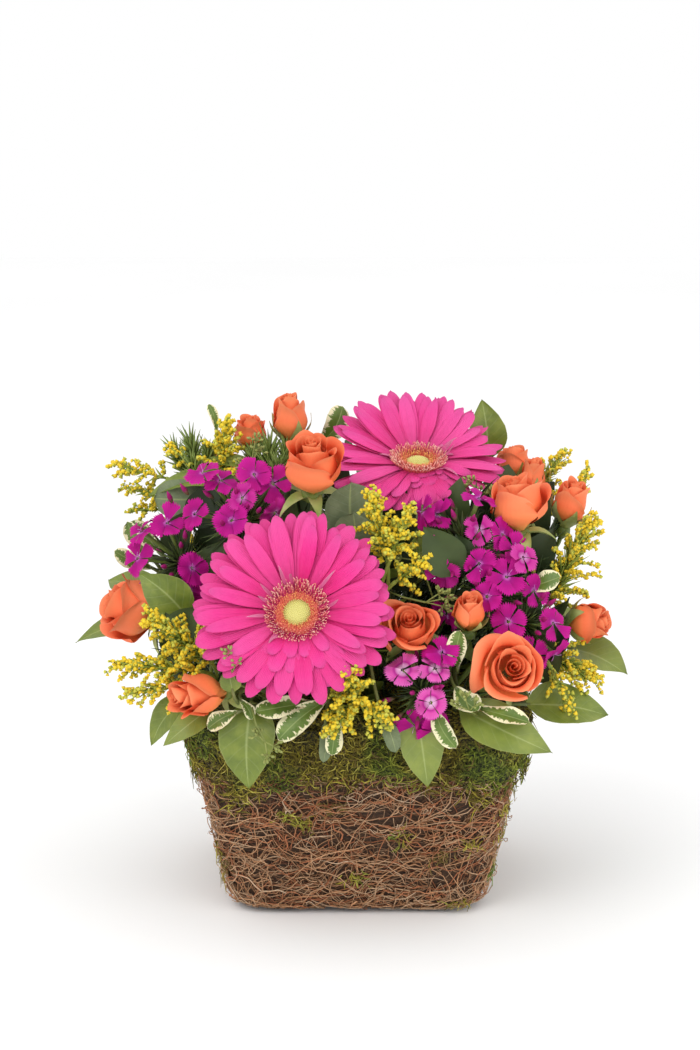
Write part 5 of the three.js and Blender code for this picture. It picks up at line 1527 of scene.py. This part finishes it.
def fillerLeaves(draw):
    # A skirt of leaves that hides the foam from every side, on a golden spiral at six heights
    filler, bag = fine["filler"], newBag()
    count, heights = filler["leaves"], filler["heights"]
    turn = golden * np.arange(count) + draw.uniform(-0.2, 0.2, count)
    height = np.tile(heights, count // len(heights)) + draw.uniform(-4, 4, count)
    for angle, z in zip(turn, height):
        out = polar(1, angle, 0)
        start = out * np.interp(z, *filler["starts"]) + [0, 0, z]
        tip = start + out * draw.uniform(16, 26) + [0, 0, draw.uniform(-12, 14)]
        addStalk(bag, start, start + 0.06 * (tip - start))
        addLeaf(bag, "salal", start, tip, draw.uniform(12, 19), out * 0.5 + [0, 0, 1], draw, 10, 7)
    return bag


def darkLeaves(draw):
    # Darker leaves deep between the flowers, spread over a dome, and set where the photo is dark
    filler, bag = fine["filler"], newBag()
    # painted shade: these leaves take the dark green finish as the shade between the flowers
    for start in np.concatenate([domeSeats(filler["heart"], 1.25, 0.42, 0.72, draw), filler["dark"]]):
        out = unit(unit(start - heart) + draw.normal(0, 0.5, 3))
        foot, tip = start - 6 * out, start + out * draw.uniform(14, 22)
        addStalk(bag, foot, foot + 1.5 * out)
        addLeaf(bag, "salal", foot, tip, draw.uniform(15, 22), draw.normal(0, 1, 3) - (0, 1, 0), draw, 9, 5)
    for start, end, width in filler["placed"]:
        addStalk(bag, start, start)
        addLeaf(bag, "salal", start, end, width, (-0.2, -0.95, 0.3), draw, 12, 7)
    return bag


def makeFiller(paints):
    # The three kinds of filler share one row of draws
    draw = np.random.default_rng(fine["filler"]["seed"])
    # painted shade: the needles and the dark leaves between the flowers get dark greens
    needle = finePaint("darkNeedle", (34, 54, 20), (92, 116, 50))
    dark = finePaint("darkLeaf", (30, 46, 16), (84, 104, 46))
    makePiece("fillerNeedles", fillerNeedles(draw), needle, ())
    makePiece("fillerLeaves", fillerLeaves(draw), paints["salal"], ())
    makePiece("darkLeaves", darkLeaves(draw), dark, ())
    print("fine foliage made")


# Sprigs of small green buds

budSprig = {
    # points along each stem, and where its umbels sit
    "sprigs": [
        ([(-46, -26, 194), (-50, -31, 206), (-51, -32, 216)], [(-55, -33, 216), (-48, -32, 222), (-49, -31, 227)]),
        ([(38, -58, 150), (33, -64, 166), (28, -66, 176)],
         [(19, -66, 183), (28, -66, 186), (33, -65, 180), (21, -66, 177)]),
        ([(68, -20, 184), (71, -26, 191), (66, -30, 195)],
         [(59, -30, 201), (55, -30, 206), (64, -30, 201), (70, -28, 198), (74, -27, 194)]),
        ([(-56, -96, 124), (-58, -104, 131)], [(-59, -106, 140), (-56, -106, 136)]),
        ([(56, -94, 108), (52, -101, 112)], [(47, -103, 115), (50, -103, 118), (54, -103, 115)]),
        ([(14, -70, 162), (22, -75, 160), (32, -76, 158)], [(38, -76, 162), (42, -76, 160), (40, -76, 156)]),
        ([(-50, -92, 114), (-47, -103, 106), (-43, -104, 98)], [(-42, -104, 92), (-46, -104, 101), (-39, -104, 96)]),
        ([(20, 50, 172), (24, 64, 188)], [(27, 72, 196), (20, 70, 198), (30, 68, 192)]),
    ],
    "rays": 10, "ray": 4.0, "seed": 131,  # rays of each umbel and their length
    "bud": [(0.22, -1.0), (0.74, -0.1), (0.6, 0.7), (0.14, 1.2)],
}


def makeBudSprigs():
    # From each stem's end a stalk runs to every umbel, whose rays spread on a golden spiral and end in a bud
    draw = np.random.default_rng(budSprig["seed"])
    bag = newBag()
    rays = budSprig["rays"]
    t = np.linspace(0, 1, 4)[None, :, None]
    for stem, umbels in budSprig["sprigs"]:
        stem, umbels = np.array(stem, float), np.array(umbels, float)
        root = heart + 40 * unit(stem[0] - heart)
        addTube(bag, np.concatenate([np.linspace(root, stem[0], 4)[:-1], stem]), 0.55, 5, tone=0.5)
        stalk = umbels - stem[-1]
        addTube(bag, stem[-1] + stalk[:, None] * t, 0.34, 4, tone=0.7)
        spread = spiral(rays, 1.35, draw, 0.2)
        way = np.einsum("nij,kj->nki", turnTo(stalk), spread).reshape(-1, 3)
        long = budSprig["ray"] * draw.uniform(0.6, 1.1, (len(way), 1, 1))
        foot = np.repeat(umbels, rays, axis=0)
        addTube(bag, foot[:, None] + way[:, None] * long * t, 0.2, 3, tone=0.8)
        addTurned(bag, budSprig["bud"], 5, turnTo(way), foot + way * long[:, 0], tone=draw.uniform(0.6, 1, len(way)))
    makePiece("budSprigs", bag, finePaint("greenBud", (88, 106, 38), (176, 182, 100)), ())


# Light, floor and camera

studio = {
    "camera": {"at": (-0.0035, -1.35841, 0.45369), "pitchDown": 11.403, "lens": 96, "sensor": 36},
    "floor": {"half": 3.0, "height": -0.0008},
    "key": {"at": (-0.8, -1.3, 1.5), "size": 1.4, "power": 12},
    "fill": {"at": (1.2, -1.0, 0.8), "size": 1.6, "power": 5},
    "aim": (0, 0, 0.14),
    "world": 1.0,
}


def makeCamera():
    # The photo's view: level from side to side, and pitched down
    view = studio["camera"]
    data = bpy.data.cameras.new("camera")
    data.lens = view["lens"]
    data.sensor_width = view["sensor"]
    camera = addObject("camera", data)
    camera.location = view["at"]
    camera.rotation_euler = (np.radians(90 - view["pitchDown"]), 0, 0)
    bpy.context.scene.camera = camera


def makeLight(name, at, size, power):
    # A square light turned towards the aim
    data = bpy.data.lights.new(name, "AREA")
    data.size = size
    data.energy = power
    light = addObject(name, data)
    light.location = at
    aim = np.subtract(studio["aim"], at)
    flat = np.hypot(aim[0], aim[1])
    light.rotation_euler = (np.arctan2(flat, -aim[2]), 0, np.arctan2(-aim[0], aim[1]))


def makeFloor():
    # A pale square just under the basket, which isn't part of it
    half, z = studio["floor"]["half"], studio["floor"]["height"]
    mesh = bpy.data.meshes.new("floor")
    mesh.from_pydata([(-half, -half, z), (half, -half, z), (half, half, z), (-half, half, z)], [], [(0, 1, 2, 3)])
    paint = Paint("floorPaper", roughness=0.9)
    mesh.materials.append(paint.finish(paint.mix(paint.noise(3, 2), (250, 250, 250), (255, 255, 255))))
    floor = addObject("floor", mesh)


def makeStudio():
    # Camera, floor, two lights and an even white world
    makeCamera()
    makeFloor()
    for name in ("key", "fill"):
        light = studio[name]
        makeLight(name, light["at"], light["size"], light["power"])
    world = bpy.data.worlds.new("studio")
    world.use_nodes = True
    world.node_tree.nodes["Background"].inputs["Color"].default_value = (1, 1, 1, 1)
    world.node_tree.nodes["Background"].inputs["Strength"].default_value = studio["world"]
    bpy.context.scene.world = world
    bpy.context.scene.view_settings.view_transform = "Standard"
    print("studio made")


makeStudio()
makeBasket()
makeGerberas()
makeRoses()
makeSweetWilliams()
makeGoldenrod()
leafPaints = makeLeaves()
makeFine()
makeFiller(leafPaints)
makeBudSprigs()
